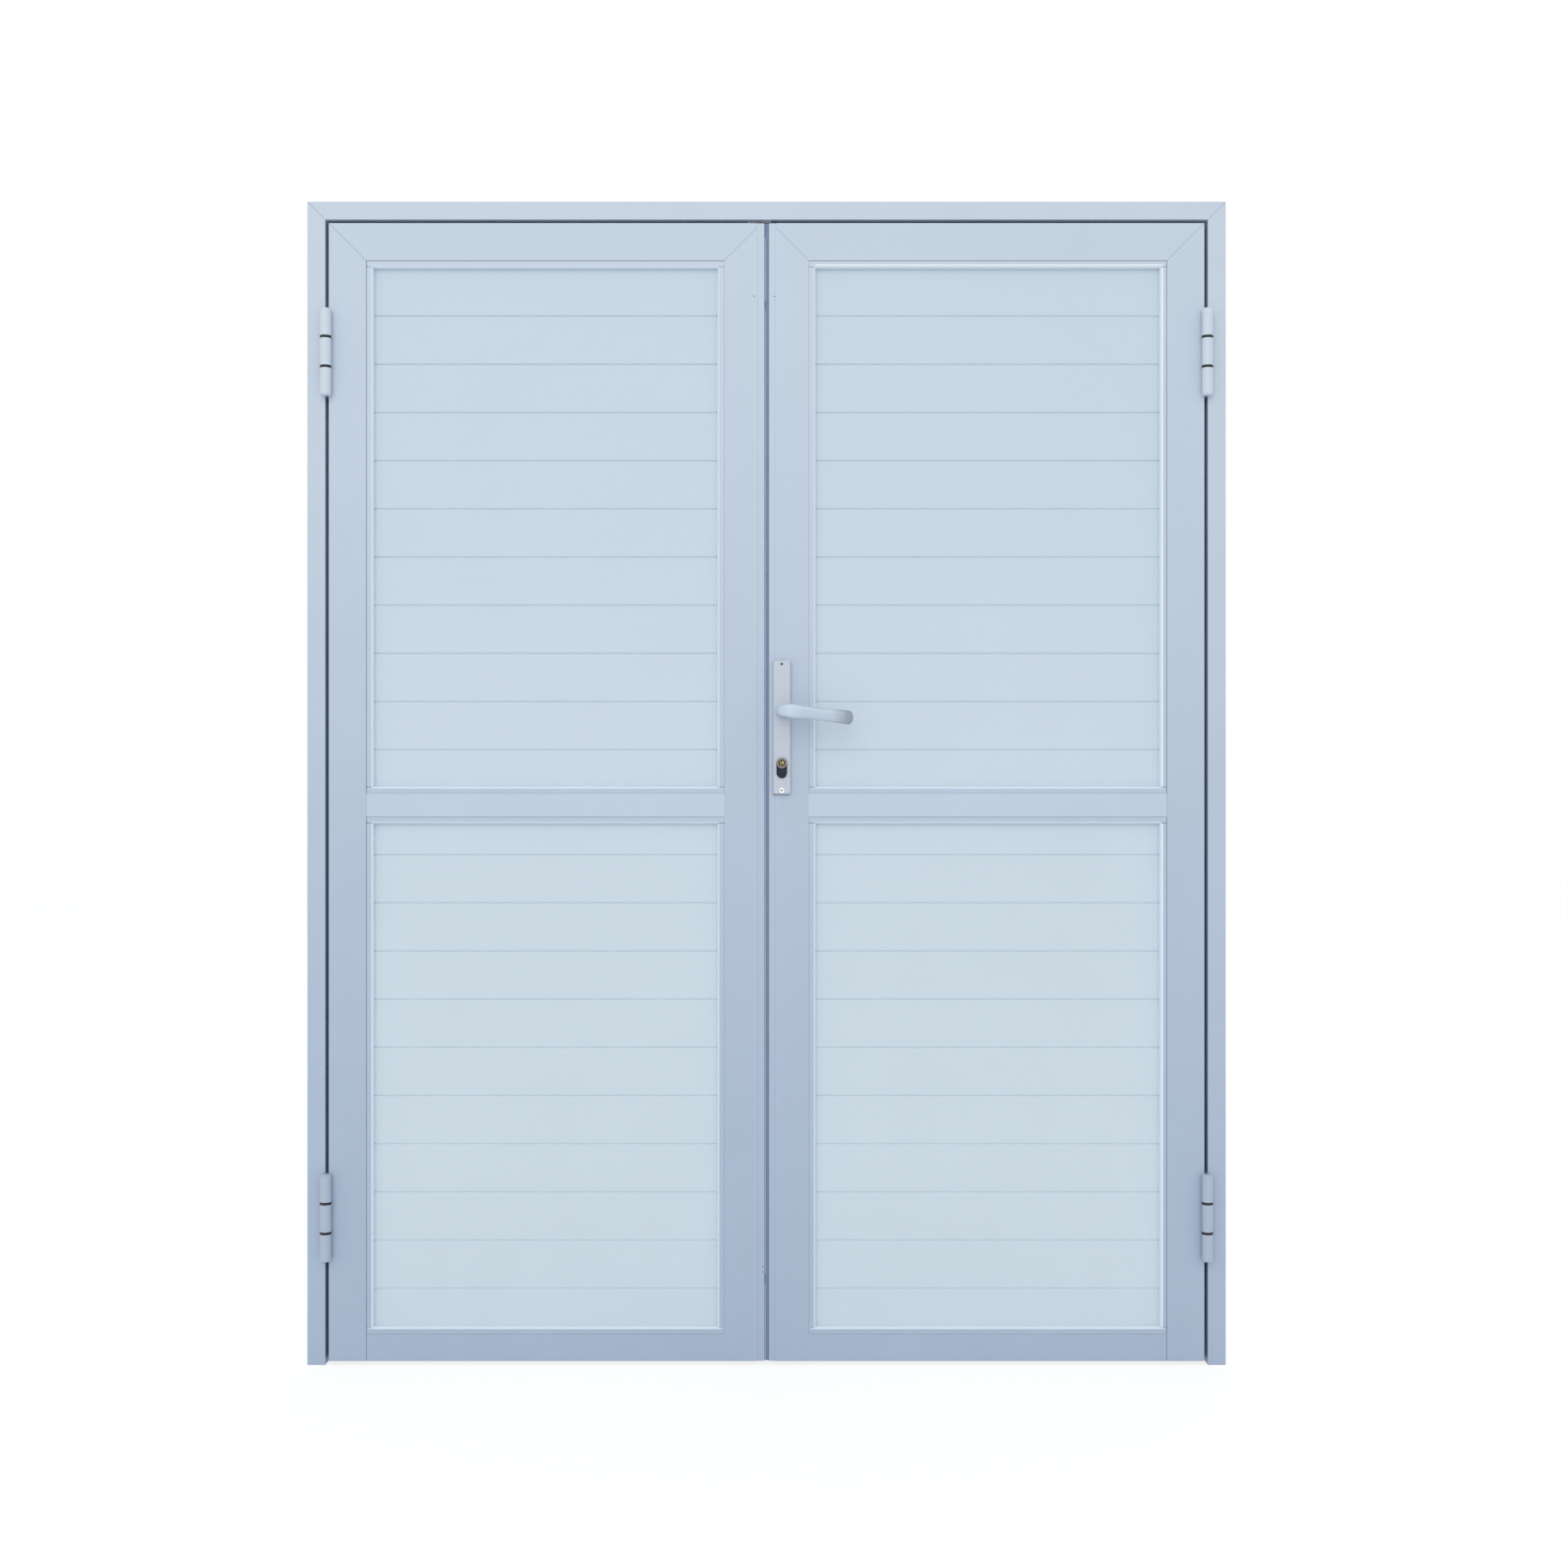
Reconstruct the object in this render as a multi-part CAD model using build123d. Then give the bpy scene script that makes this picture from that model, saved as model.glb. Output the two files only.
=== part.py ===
from build123d import *
import os
from math import ceil

# Aluminium double door with its frame, in millimetres.
# X runs to the right seen from outside, Y from outside to inside and Z up.
# The origin is on the floor line, midway between the jambs and midway through the leaves.
# A section is drawn with u from the outer edge of its profile inwards, and with the depth y.

# Overall size and the gaps round the leaves
DOOR_WIDTH = 1500.0
DOOR_HEIGHT = 1900.0
LEAF_DEPTH = 40.0
LEAF_GAP = 6.0
MEETING_GAP = 8.0
FLOOR_GAP = 6.5

# Frame profile with its rear stop and the gasket channel in the stop
FRAME_FACE = 29.0
FRAME_DEPTH = 48.0
FRAME_WALL = 2.0
STOP_REACH = 16.0
STOP_THICKNESS = 2.0
CHANNEL_WIDTH = 5.6
CHANNEL_DEPTH = 3.0
HOOK_WALL = 1.2
HOOK_LIP = 0.8
GASKET_FIT = 0.1
GASKET_OVERHANG = 1.0
GASKET_CLEARANCE = 0.3

# Leaf profiles
LEAF_WALL = 2.0
LEAF_FACE = 61.0
LEAF_WEB = 20.0
MEETING_FACE = 52.5
MEETING_WEB = 41.0
MIDDLE_RAIL_FACE = 38.0
MIDDLE_RAIL_HEIGHT = 914.5
BOTTOM_RAIL_FACE = 44.0

# Glazing leg behind the planks, and the snap-in bead in front of them
BEAD_FACE = 11.0
LEG_WALL = 1.6
BEAD_WALL = 1.3
BEAD_SET_BACK = 0.4
BEAD_BEVEL = 3.0
SNAP_WIDTH = 2.0
SNAP_DEPTH = 1.8
SNAP_FIT = 0.2
SNAP_FROM_FRONT = 7.8
SNAP_WALL = 1.4

# Interlocking hollow planks
PLANK_PITCH = 79.0
PLANK_THICKNESS = 16.0
PLANK_WALL = 1.3
PLANK_CHAMFER = 1.6
TONGUE_HEIGHT = 7.0
TONGUE_THICKNESS = 5.0
TONGUE_FIT = 0.4
PANEL_CLEARANCE = 1.0
UPPER_JOINT_DROP = 88.0
LOWER_JOINT_DROP = 62.7

# Meeting adaptor along the closing edge of each leaf
ADAPTOR_FACE = 12.5
ADAPTOR_SET_BACK = 1.2
ADAPTOR_WALL = 1.2
FOREND_WIDTH = 22.0
FOREND_THICKNESS = 2.5
FOREND_FIT = 0.2
SEAL_ROOT_WIDTH = 3.0
SEAL_ROOT_DEPTH = 2.0
SEAL_FIT = 0.1
SEAL_FROM_FRONT = 5.0
SEAL_FIN = 1.2
SEAL_SHORT = 1.9

# Corner cleats and rail connectors inside the profiles
CLEAT_FIT = 0.2
CLEAT_WIDTH = 26.0
CLEAT_LEG = 60.0
CLEAT_WALL = 3.0
LEAF_CLEAT_INSET = 14.0
CONNECTOR_LENGTH = 40.0

# Hinges
HINGE_FROM_TOP = 212.5
HINGE_FROM_BOTTOM = 236.0
HINGE_LENGTH = 138.0
KNUCKLE_RADIUS = 9.0
KNUCKLE_GAP = 3.0
WING_THICKNESS = 2.5
WING_BEHIND_FRONT = 34.0
WING_RELIEF = 0.5
PIN_RADIUS = 3.5
PIN_SEAT_FIT = 0.02
PIN_RUNNING_FIT = 0.06
PIN_HEAD_RADIUS = 8.5
PIN_HEAD_HEIGHT = 2.0
PIN_HEAD_ROUNDING = 1.5
BUSH_RADIUS = 5.5
BUSH_SEAT_FIT = 0.02
BUSH_FLANGE_RADIUS = 8.6
BUSH_SLEEVE = 18.0
FLANGE_CLEARANCE = 0.3
WING_SCREW_SPACING = 50.0
WING_SCREW_DEPTH = 22.0

# Countersunk screws
SCREW_RADIUS = 2.2
SCREW_HEAD_RADIUS = 4.2
SCREW_HEAD_HEIGHT = 2.0
SCREW_LENGTH = 12.0
SCREW_FIT = 0.1

# Lock: forend, case, latch bolt, dead bolt and follower
BACKSET = 21.0
LEVER_HEIGHT = 1068.0
CYLINDER_DROP = 85.0
FOREND_LENGTH = 210.0
FOREND_CENTRE_DROP = 28.0
FOREND_SCREW_INSET = 7.0
CASE_HEIGHT = 176.0
CASE_DEPTH = 47.5
CASE_THICKNESS = 14.0
CASE_WALL = 1.2
CASE_FIT = 0.4
BOLT_HEIGHT = 16.0
BOLT_THICKNESS = 10.0
BOLT_FIT = 0.2
STRIKE_FIT = 0.8
LATCH_ABOVE_LEVER = 37.0
LATCH_STANDS_OUT = 6.2
LATCH_BEVEL = 4.0
LATCH_HEAD_LENGTH = 18.5
LATCH_TAIL_LENGTH = 19.5
LATCH_TAIL_HEIGHT = 10.0
LATCH_TAIL_THICKNESS = 6.0
PEG_WIDTH = 6.0
PEG_CLEARANCE = 1.2
PEG_BOTTOM_ABOVE_LEVER = 16.0
DEAD_BOLT_BELOW_LEVER = 43.0
DEAD_BOLT_SUNK = 1.0
DEAD_BOLT_LENGTH = 40.0
SHELF_LENGTH = 28.0
LATCH_LOWER_SHELF = 16.0
FOLLOWER_RADIUS = 9.0
FOLLOWER_FIT = 0.08
FOLLOWER_ARM_REACH = 23.0
FOLLOWER_ARM_WIDTH = 6.0
FOLLOWER_ARM_THICKNESS = 8.0

# Handle set
SPINDLE_SIZE = 8.0
SPINDLE_FIT = 0.05
SPINDLE_HALF_LENGTH = 40.0
PLATE_WIDTH = 28.0
PLATE_LENGTH = 218.0
PLATE_THICKNESS = 8.0
PLATE_FACE_WALL = 3.0
PLATE_SIDE_WALL = 2.5
PLATE_CORNER = 3.0
PLATE_ROUNDING = 1.5
PLATE_CENTRE_DROP = 26.6
PLATE_SCREW_SPACING = 206.0
PLATE_BOSS_RADIUS = 4.2
PLATE_SCREW_RADIUS = 2.0
PLATE_SCREW_HEAD_RADIUS = 3.8
PLATE_SCREW_HEAD_HEIGHT = 2.0
NECK_RADIUS = 10.0
NECK_FIT = 0.1
NECK_ROOT_DEPTH = 3.8
LEVER_REACH = 58.0
LEVER_LENGTH = 116.0
LEVER_DROOP = 6.5
GRIP_THICKNESS = 12.0
GRIP_HEIGHT = 23.0
GRIP_ROUNDING = 5.5
GRIP_BEND = 18.0
TIP_BEND = 11.0
TIP_RETURN = 13.0
SPINDLE_HOLE_RADIUS = 7.0

# Oval cylinder and its turning parts
CYLINDER_RADIUS = 8.5
CYLINDER_STEM_WIDTH = 17.0
CYLINDER_HEIGHT = 33.0
CYLINDER_PROUD = 3.0
CYLINDER_FIT = 0.2
PLUG_RADIUS = 6.95
PLUG_FIT = 0.05
CAM_SLOT = 10.6
CAM_WIDTH = 10.0
CAM_HUB_RADIUS = 8.0
CAM_REACH = 15.5
CAM_LOBE_WIDTH = 6.0
CAM_CLEARANCE = 1.0
CAM_REST_ANGLE = 30.0
KEYWAY_WIDTH = 1.6
KEYWAY_HEIGHT = 8.0
KEYWAY_DEPTH = 12.0

# Flush bolts in the closing edge of the left leaf
ROD_RADIUS = 3.5
ROD_END_CLEARANCE = 0.5
ROD_TRAVEL = 20.0
ROD_LENGTH = 220.0
FLUSH_FRONT_LENGTH = 150.0
FLUSH_FRONT_INSET = 120.0
FLUSH_SCREW_OFFSET = 6.5
THUMB_WIDTH = 10.0
THUMB_HEIGHT = 14.0
THUMB_PROUD = 2.0
THUMB_STEM = 4.0
THUMB_FIT = 0.3
GUIDE_HEIGHT = 15.0
GUIDE_BACK_INSET = 5.0
GUIDE_FIT = 0.2
GUIDE_BORE_FIT = 0.15
KEEP_THICKNESS = 2.0
KEEP_LENGTH = 40.0
KEEP_WIDTH = 20.0
KEEP_HOLE_FIT = 0.7
KEEP_SCREW_SPACING = 28.0

# Holes for fixing the frame through both walls of each profile
FIXING_RADIUS = 3.25
JAMB_FIXING_SPACING = 1400.0
JAMB_FIXING_CENTRE = 950.0
HEAD_FIXING_SPACING = 1000.0

# Places worked out from the sizes above
FRONT = -LEAF_DEPTH / 2
BACK = LEAF_DEPTH / 2
FRAME_BACK = FRONT + FRAME_DEPTH
STOP_FRONT = FRAME_BACK - STOP_THICKNESS
HALF_WIDTH = DOOR_WIDTH / 2
FRAME_INNER = HALF_WIDTH - FRAME_FACE
HEAD_INNER = DOOR_HEIGHT - FRAME_FACE
LEAF_EDGE = FRAME_INNER - LEAF_GAP
LEAF_TOP = HEAD_INNER - LEAF_GAP
LEAF_HEIGHT = LEAF_TOP - FLOOR_GAP
MEETING_EDGE = MEETING_GAP / 2
STILE_EDGE = MEETING_EDGE + ADAPTOR_FACE
HINGE_SIDE_FACE = LEAF_EDGE - LEAF_FACE
MEETING_SIDE_FACE = STILE_EDGE + MEETING_FACE
TOP_RAIL_FACE = LEAF_TOP - LEAF_FACE
MIDDLE_RAIL_TOP = MIDDLE_RAIL_HEIGHT + MIDDLE_RAIL_FACE / 2
MIDDLE_RAIL_BOTTOM = MIDDLE_RAIL_HEIGHT - MIDDLE_RAIL_FACE / 2
BOTTOM_RAIL_TOP = FLOOR_GAP + BOTTOM_RAIL_FACE
OPENING_WIDTH = HINGE_SIDE_FACE - MEETING_SIDE_FACE
PANEL_FACE = PLANK_THICKNESS / 2
SNAP_Y = FRONT + SNAP_FROM_FRONT
SEAL_Y = FRONT + SEAL_FROM_FRONT
HINGE_X = (FRAME_INNER + LEAF_EDGE) / 2
HINGE_Y = FRONT - KNUCKLE_RADIUS
KNUCKLE_LENGTH = (HINGE_LENGTH - 2 * KNUCKLE_GAP) / 3
HINGE_HEIGHTS = (LEAF_TOP - HINGE_FROM_TOP, FLOOR_GAP + HINGE_FROM_BOTTOM)
WING_BACK = FRONT + WING_BEHIND_FRONT
WING_SCREW_Y = FRONT + WING_SCREW_DEPTH
LEVER_X = MEETING_EDGE + BACKSET
CYLINDER_Z = LEVER_HEIGHT - CYLINDER_DROP
FOREND_BACK = MEETING_EDGE + FOREND_THICKNESS
FOREND_Z = LEVER_HEIGHT - FOREND_CENTRE_DROP
LATCH_Z = LEVER_HEIGHT + LATCH_ABOVE_LEVER
DEAD_BOLT_Z = LEVER_HEIGHT - DEAD_BOLT_BELOW_LEVER
PLATE_Z = LEVER_HEIGHT - PLATE_CENTRE_DROP
PLATE_FRONT = FRONT - PLATE_THICKNESS
CYLINDER_END = BACK + PLATE_THICKNESS + CYLINDER_PROUD
CHAMBER_START = FOREND_THICKNESS + ADAPTOR_WALL
CHAMBER_END = ADAPTOR_FACE - ADAPTOR_WALL
ROD_X = MEETING_EDGE + (CHAMBER_START + CHAMBER_END) / 2
ADAPTOR_HALF_DEPTH = BACK - ADAPTOR_SET_BACK
CUT_DEPTH = 4 * FRAME_DEPTH


def rect(u0, u1, y0, y1):
    """Rectangle between two values of u and two of y."""
    return Pos((u0 + u1) / 2, (y0 + y1) / 2) * Rectangle(u1 - u0, y1 - y0)


def outline(points):
    """Face inside a closed run of straight edges."""
    return make_face(Polyline(points, close=True))


def block(x0, x1, y0, y1, z0, z1):
    """Box between two values on each axis."""
    return Pos((x0 + x1) / 2, (y0 + y1) / 2, (z0 + z1) / 2) * Box(x1 - x0, y1 - y0, z1 - z0)


def bar(section, start, inward, length):
    """Carry a section along its profile, with u pointing inward and the depth along Y."""
    along = Vector(*inward).cross(Vector(0, 1, 0))
    return extrude(Plane(origin=start, x_dir=inward, z_dir=along) * section, amount=length)


def prism(points):
    """Elevation outline in X and Z, carried right through the door, to cut with."""
    return extrude(Plane.XZ * outline(points), amount=CUT_DEPTH, both=True)


def rod_y(radius, x, z, y0, y1):
    """Cylinder along Y."""
    return extrude(Plane(origin=(x, y0, z), z_dir=(0, 1, 0)) * Circle(radius), amount=y1 - y0)


def upright(radius, x, y, z0, z1):
    """Cylinder along Z."""
    return extrude(Plane(origin=(x, y, z0)) * Circle(radius), amount=z1 - z0)


def mirrored(piece):
    """The same piece on the other side of the door."""
    return mirror(piece, about=Plane.YZ)


def write(node, *pieces):
    """Write every solid of the pieces to one file."""
    solids = [solid for piece in pieces for solid in piece.solids()]
    export_step(Compound(solids) if len(solids) > 1 else solids[0], f"parts/{node}.step")


def screw(grow=0.0, length=SCREW_LENGTH):
    """Countersunk screw that points down from a flush head, or its hole when it is grown."""
    top = (Align.CENTER, Align.CENTER, Align.MAX)
    head = Cone(SCREW_RADIUS + grow, SCREW_HEAD_RADIUS + grow, SCREW_HEAD_HEIGHT, align=top)
    return head + Cylinder(SCREW_RADIUS + grow, length, align=top)


def screws_at(places, into, grow=0.0):
    """Screws with their heads at the places and their points towards a direction."""
    away = Vector(*into) * -1
    return [Plane(origin=place, z_dir=away) * screw(grow) for place in places]


def cut_all(piece, cutters):
    """Take every cutter out of the piece."""
    for cutter in cutters:
        piece = piece - cutter
    return piece


# Frame

def frame_section():
    """Hollow box with a rear stop that ends in two hooked walls for the gasket."""
    tip = FRAME_FACE + STOP_REACH
    box = rect(0, FRAME_FACE, FRONT, FRAME_BACK)
    chamber = rect(FRAME_WALL, FRAME_FACE - FRAME_WALL, FRONT + FRAME_WALL, FRAME_BACK - FRAME_WALL)
    stop = rect(FRAME_FACE, tip, STOP_FRONT, FRAME_BACK)
    channel_end = tip - HOOK_WALL
    channel_start = channel_end - CHANNEL_WIDTH
    hook_front = STOP_FRONT - CHANNEL_DEPTH
    hooks = rect(channel_start - HOOK_WALL, tip, hook_front, STOP_FRONT)
    channel = rect(channel_start, channel_end, hook_front + HOOK_LIP, STOP_FRONT)
    mouth = rect(channel_start + HOOK_LIP, channel_end - HOOK_LIP, hook_front, hook_front + HOOK_LIP)
    return box - chamber + stop + (hooks - channel - mouth)


def gasket_section():
    """Gasket with its root in the stop's channel and its face just clear of the leaf."""
    centre = FRAME_FACE + STOP_REACH - HOOK_WALL - CHANNEL_WIDTH / 2
    half_root = CHANNEL_WIDTH / 2 - GASKET_FIT
    half_neck = half_root - HOOK_LIP
    half_face = CHANNEL_WIDTH / 2 + GASKET_OVERHANG
    hook_front = STOP_FRONT - CHANNEL_DEPTH
    root = rect(-half_root, half_root, hook_front + HOOK_LIP + GASKET_FIT, STOP_FRONT - GASKET_FIT)
    neck = rect(-half_neck, half_neck, hook_front, hook_front + HOOK_LIP + GASKET_FIT)
    face = rect(-half_face, half_face, BACK + GASKET_CLEARANCE, hook_front)
    return Pos(centre, 0) * (root + neck + face)


def corner_half(corner, size, above):
    """Half of a square inside a right top corner, above or below its mitre."""
    x, z = corner
    third = (x - size, z) if above else (x, z - size)
    return prism([corner, (x - size, z - size), third])


def frame_corner(above):
    """Part of the frame's right top corner above or below its mitre."""
    return corner_half((HALF_WIDTH, DOOR_HEIGHT), 2 * (FRAME_FACE + STOP_REACH), above)


def jamb(section):
    """Right upright, mitred at its top."""
    piece = bar(section, (HALF_WIDTH, 0, DOOR_HEIGHT), (-1, 0, 0), DOOR_HEIGHT)
    return piece - frame_corner(above=True)


def head(section):
    """Top member, mitred at both ends."""
    below = frame_corner(above=False)
    piece = bar(section, (-HALF_WIDTH, 0, DOOR_HEIGHT), (0, 0, -1), DOOR_WIDTH)
    return piece - below - mirrored(below)


def l_cleat(outer_x, outer_z, to_x, width, depth):
    """L-shaped corner key with hollow legs, its outer corner at a point and its legs along to_x and down."""
    def leg_outline(inset):
        points = [
            (inset, -inset),
            (CLEAT_LEG - inset, -inset),
            (CLEAT_LEG - inset, inset - width),
            (width - inset, inset - width),
            (width - inset, inset - CLEAT_LEG),
            (inset, inset - CLEAT_LEG),
        ]
        return outline([(outer_x + to_x * x, outer_z + z) for x, z in points])

    section = leg_outline(0) - leg_outline(CLEAT_WALL)
    return extrude(Plane.XZ * section, amount=depth / 2, both=True)


def frame_cleat():
    """Corner key inside the mitre of the frame's right corner."""
    inset = FRAME_WALL + CLEAT_FIT
    width = FRAME_FACE - 2 * inset
    middle = (FRONT + FRAME_BACK) / 2
    key = l_cleat(HALF_WIDTH - inset, DOOR_HEIGHT - inset, -1, width, FRAME_DEPTH - 2 * inset)
    return Pos(0, middle, 0) * key


def jamb_fixing_holes():
    """Fixing holes through the right jamb."""
    heights = [JAMB_FIXING_CENTRE + side * JAMB_FIXING_SPACING / 2 for side in (-1, 1)]
    hole = extrude(Plane.YZ * Circle(FIXING_RADIUS), amount=HALF_WIDTH)
    return [Pos(FRAME_INNER - 1, 0, z) * hole for z in heights]


def head_fixing_holes():
    """Fixing holes through the head."""
    hole = Cylinder(FIXING_RADIUS, CUT_DEPTH)
    return [Pos(side * HEAD_FIXING_SPACING / 2, 0, DOOR_HEIGHT) * hole for side in (-1, 1)]


# Hinges, drawn for the right side of the door with the middle of the hinge at height zero

def knuckle(z0, z1):
    """Solid barrel of a hinge between two heights."""
    return upright(KNUCKLE_RADIUS, HINGE_X, HINGE_Y, z0, z1)


def wing_screw_places(x):
    """Head centres of one wing's screws on the face at x."""
    return [(x, WING_SCREW_Y, step * WING_SCREW_SPACING) for step in (-1, 0, 1)]


def wing(x0, x1, barrels):
    """Hinge wing in the gap, with a strap out to each of its barrels."""
    half = HINGE_LENGTH / 2
    piece = block(x0, x1, FRONT + WING_RELIEF, WING_BACK, -half, half)
    for z0, z1 in barrels:
        piece = piece + block(x0, x1, HINGE_Y, FRONT + WING_RELIEF, z0, z1) + knuckle(z0, z1)
    return piece


def frame_wing():
    """Wing on the jamb, with the top and bottom barrels."""
    half = HINGE_LENGTH / 2
    barrels = [(-half, KNUCKLE_LENGTH - half), (half - KNUCKLE_LENGTH, half)]
    piece = wing(FRAME_INNER - WING_THICKNESS, FRAME_INNER, barrels)
    holes = screws_at(wing_screw_places(FRAME_INNER - WING_THICKNESS), (1, 0, 0), SCREW_FIT)
    bore = upright(PIN_RADIUS + PIN_SEAT_FIT, HINGE_X, HINGE_Y, -half, half)
    return cut_all(piece, holes + [bore])


def leaf_wing():
    """Wing on the leaf, with the middle barrel."""
    half = KNUCKLE_LENGTH / 2
    piece = wing(LEAF_EDGE, LEAF_EDGE + WING_THICKNESS, [(-half, half)])
    holes = screws_at(wing_screw_places(LEAF_EDGE + WING_THICKNESS), (-1, 0, 0), SCREW_FIT)
    bore = upright(BUSH_RADIUS + BUSH_SEAT_FIT, HINGE_X, HINGE_Y, -half, half)
    return cut_all(piece, holes + [bore])


def hinge_pin():
    """Pin with a domed head at each end."""
    half = HINGE_LENGTH / 2
    dome = upright(PIN_HEAD_RADIUS, HINGE_X, HINGE_Y, half, half + PIN_HEAD_HEIGHT)
    dome = fillet(dome.edges().group_by(Axis.Z)[-1], PIN_HEAD_ROUNDING)
    shank = upright(PIN_RADIUS, HINGE_X, HINGE_Y, -half, half)
    return shank + dome + mirror(dome, about=Plane.XY)


def hinge_bush():
    """Flanged bush in the upper end of the leaf's barrel."""
    end = KNUCKLE_LENGTH / 2
    flange = upright(BUSH_FLANGE_RADIUS, HINGE_X, HINGE_Y, end, end + KNUCKLE_GAP - FLANGE_CLEARANCE)
    sleeve = upright(BUSH_RADIUS, HINGE_X, HINGE_Y, end - BUSH_SLEEVE, end)
    bore = upright(PIN_RADIUS + PIN_RUNNING_FIT, HINGE_X, HINGE_Y, end - BUSH_SLEEVE, end + KNUCKLE_GAP)
    return flange + sleeve - bore


def at_hinges(piece):
    """A copy of a hinge piece at each of the two hinge heights."""
    return [Pos(0, 0, z) * piece for z in HINGE_HEIGHTS]


# Leaf profiles, drawn for the right leaf

def glazing_edge():
    """Rear glazing leg on a profile's inner face at u zero."""
    leg = rect(0, BEAD_FACE, PANEL_FACE, BACK)
    return leg - rect(0, BEAD_FACE - LEG_WALL, PANEL_FACE + LEG_WALL, BACK - LEG_WALL)


def snap_groove(grow):
    """Groove for the bead's foot in an inner face at u zero, or the wall round it when it is grown."""
    half = SNAP_WIDTH / 2 + SNAP_FIT + grow
    return rect(-SNAP_DEPTH - SNAP_FIT - grow, 0, SNAP_Y - half, SNAP_Y + half)


def leaf_section(face, web):
    """Box profile with a web between its chambers, a bead groove and a glazing leg."""
    box = rect(0, face, FRONT, BACK)
    inside = (FRONT + LEAF_WALL, BACK - LEAF_WALL)
    chambers = rect(LEAF_WALL, web - LEAF_WALL, *inside) + rect(web, face - LEAF_WALL, *inside)
    edge = Pos(face, 0)
    return box - (chambers - edge * snap_groove(SNAP_WALL)) - edge * snap_groove(0) + edge * glazing_edge()


def both_sides(sketch):
    """A sketch and its reflection in u."""
    return sketch + mirror(sketch, about=Plane.YZ)


def middle_rail_section():
    """Box profile with a bead groove and a glazing leg on both sides, centred on u."""
    half = MIDDLE_RAIL_FACE / 2
    chamber = rect(LEAF_WALL - half, half - LEAF_WALL, FRONT + LEAF_WALL, BACK - LEAF_WALL)
    walls = both_sides(Pos(half, 0) * snap_groove(SNAP_WALL))
    grooves = both_sides(Pos(half, 0) * snap_groove(0))
    legs = both_sides(Pos(half, 0) * glazing_edge())
    return rect(-half, half, FRONT, BACK) - (chamber - walls) - grooves + legs


def bead_section():
    """Hollow snap-in bead with a bevelled front edge and a foot in the profile's groove."""
    front = FRONT + BEAD_SET_BACK

    def bead_outline(inset):
        bevel = BEAD_BEVEL - inset / 2
        return outline([
            (inset, front + inset),
            (BEAD_FACE - bevel - inset / 2, front + inset),
            (BEAD_FACE - inset, front + bevel + inset / 2),
            (BEAD_FACE - inset, -PANEL_FACE - inset),
            (inset, -PANEL_FACE - inset),
        ])

    foot = rect(-SNAP_DEPTH, 0, SNAP_Y - SNAP_WIDTH / 2, SNAP_Y + SNAP_WIDTH / 2)
    return bead_outline(0) - bead_outline(BEAD_WALL) + foot


def meeting_mitre(above):
    """Region above or below the mitre between the top rail and the meeting stile."""
    size = MEETING_FACE + 2 * BEAD_FACE
    outer = (STILE_EDGE, TOP_RAIL_FACE + MEETING_FACE)
    inner = (STILE_EDGE + size, outer[1] - size)
    if above:
        return prism([outer, inner, (inner[0], LEAF_TOP + 1), (STILE_EDGE, LEAF_TOP + 1)])
    return prism([outer, inner, (STILE_EDGE, inner[1])])


def hinge_mitre(above):
    """Region above or below the mitre between the top rail and the hinge stile."""
    return corner_half((LEAF_EDGE, LEAF_TOP), LEAF_FACE + 2 * BEAD_FACE, above)


def hinge_stile():
    """Stile along the hinges, mitred at its top."""
    section = leaf_section(LEAF_FACE, LEAF_WEB)
    piece = bar(section, (LEAF_EDGE, 0, LEAF_TOP), (-1, 0, 0), LEAF_HEIGHT) - hinge_mitre(above=True)
    holes = screws_at(wing_screw_places(LEAF_EDGE + WING_THICKNESS), (-1, 0, 0), SCREW_FIT)
    return cut_all(piece, [place for hole in holes for place in at_hinges(hole)])


def meeting_stile():
    """Stile beside the adaptor, mitred at its top below the adaptor's end."""
    section = leaf_section(MEETING_FACE, MEETING_WEB)
    piece = bar(section, (STILE_EDGE, 0, FLOOR_GAP), (1, 0, 0), LEAF_HEIGHT)
    return piece - meeting_mitre(above=True)


def top_rail():
    """Top rail, mitred to both stiles and square against the adaptor."""
    section = leaf_section(LEAF_FACE, LEAF_WEB)
    piece = bar(section, (STILE_EDGE, 0, LEAF_TOP), (0, 0, -1), LEAF_EDGE - STILE_EDGE)
    return piece - hinge_mitre(above=False) - meeting_mitre(above=False)


def coped(rail):
    """A rail cut back round the glazing legs of both stiles."""
    meeting = block(MEETING_SIDE_FACE, MEETING_SIDE_FACE + BEAD_FACE, PANEL_FACE, BACK, 0, LEAF_TOP)
    hinge = block(HINGE_SIDE_FACE - BEAD_FACE, HINGE_SIDE_FACE, PANEL_FACE, BACK, 0, LEAF_TOP)
    return rail - meeting - hinge


def middle_rail():
    """Rail between the upper and lower panels."""
    start = (MEETING_SIDE_FACE, 0, MIDDLE_RAIL_HEIGHT)
    return coped(bar(middle_rail_section(), start, (0, 0, -1), OPENING_WIDTH))


def bottom_rail():
    """Rail along the bottom, square between the stiles."""
    section = leaf_section(BOTTOM_RAIL_FACE, LEAF_WEB)
    return coped(bar(section, (HINGE_SIDE_FACE, 0, FLOOR_GAP), (0, 0, 1), OPENING_WIDTH))


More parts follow.
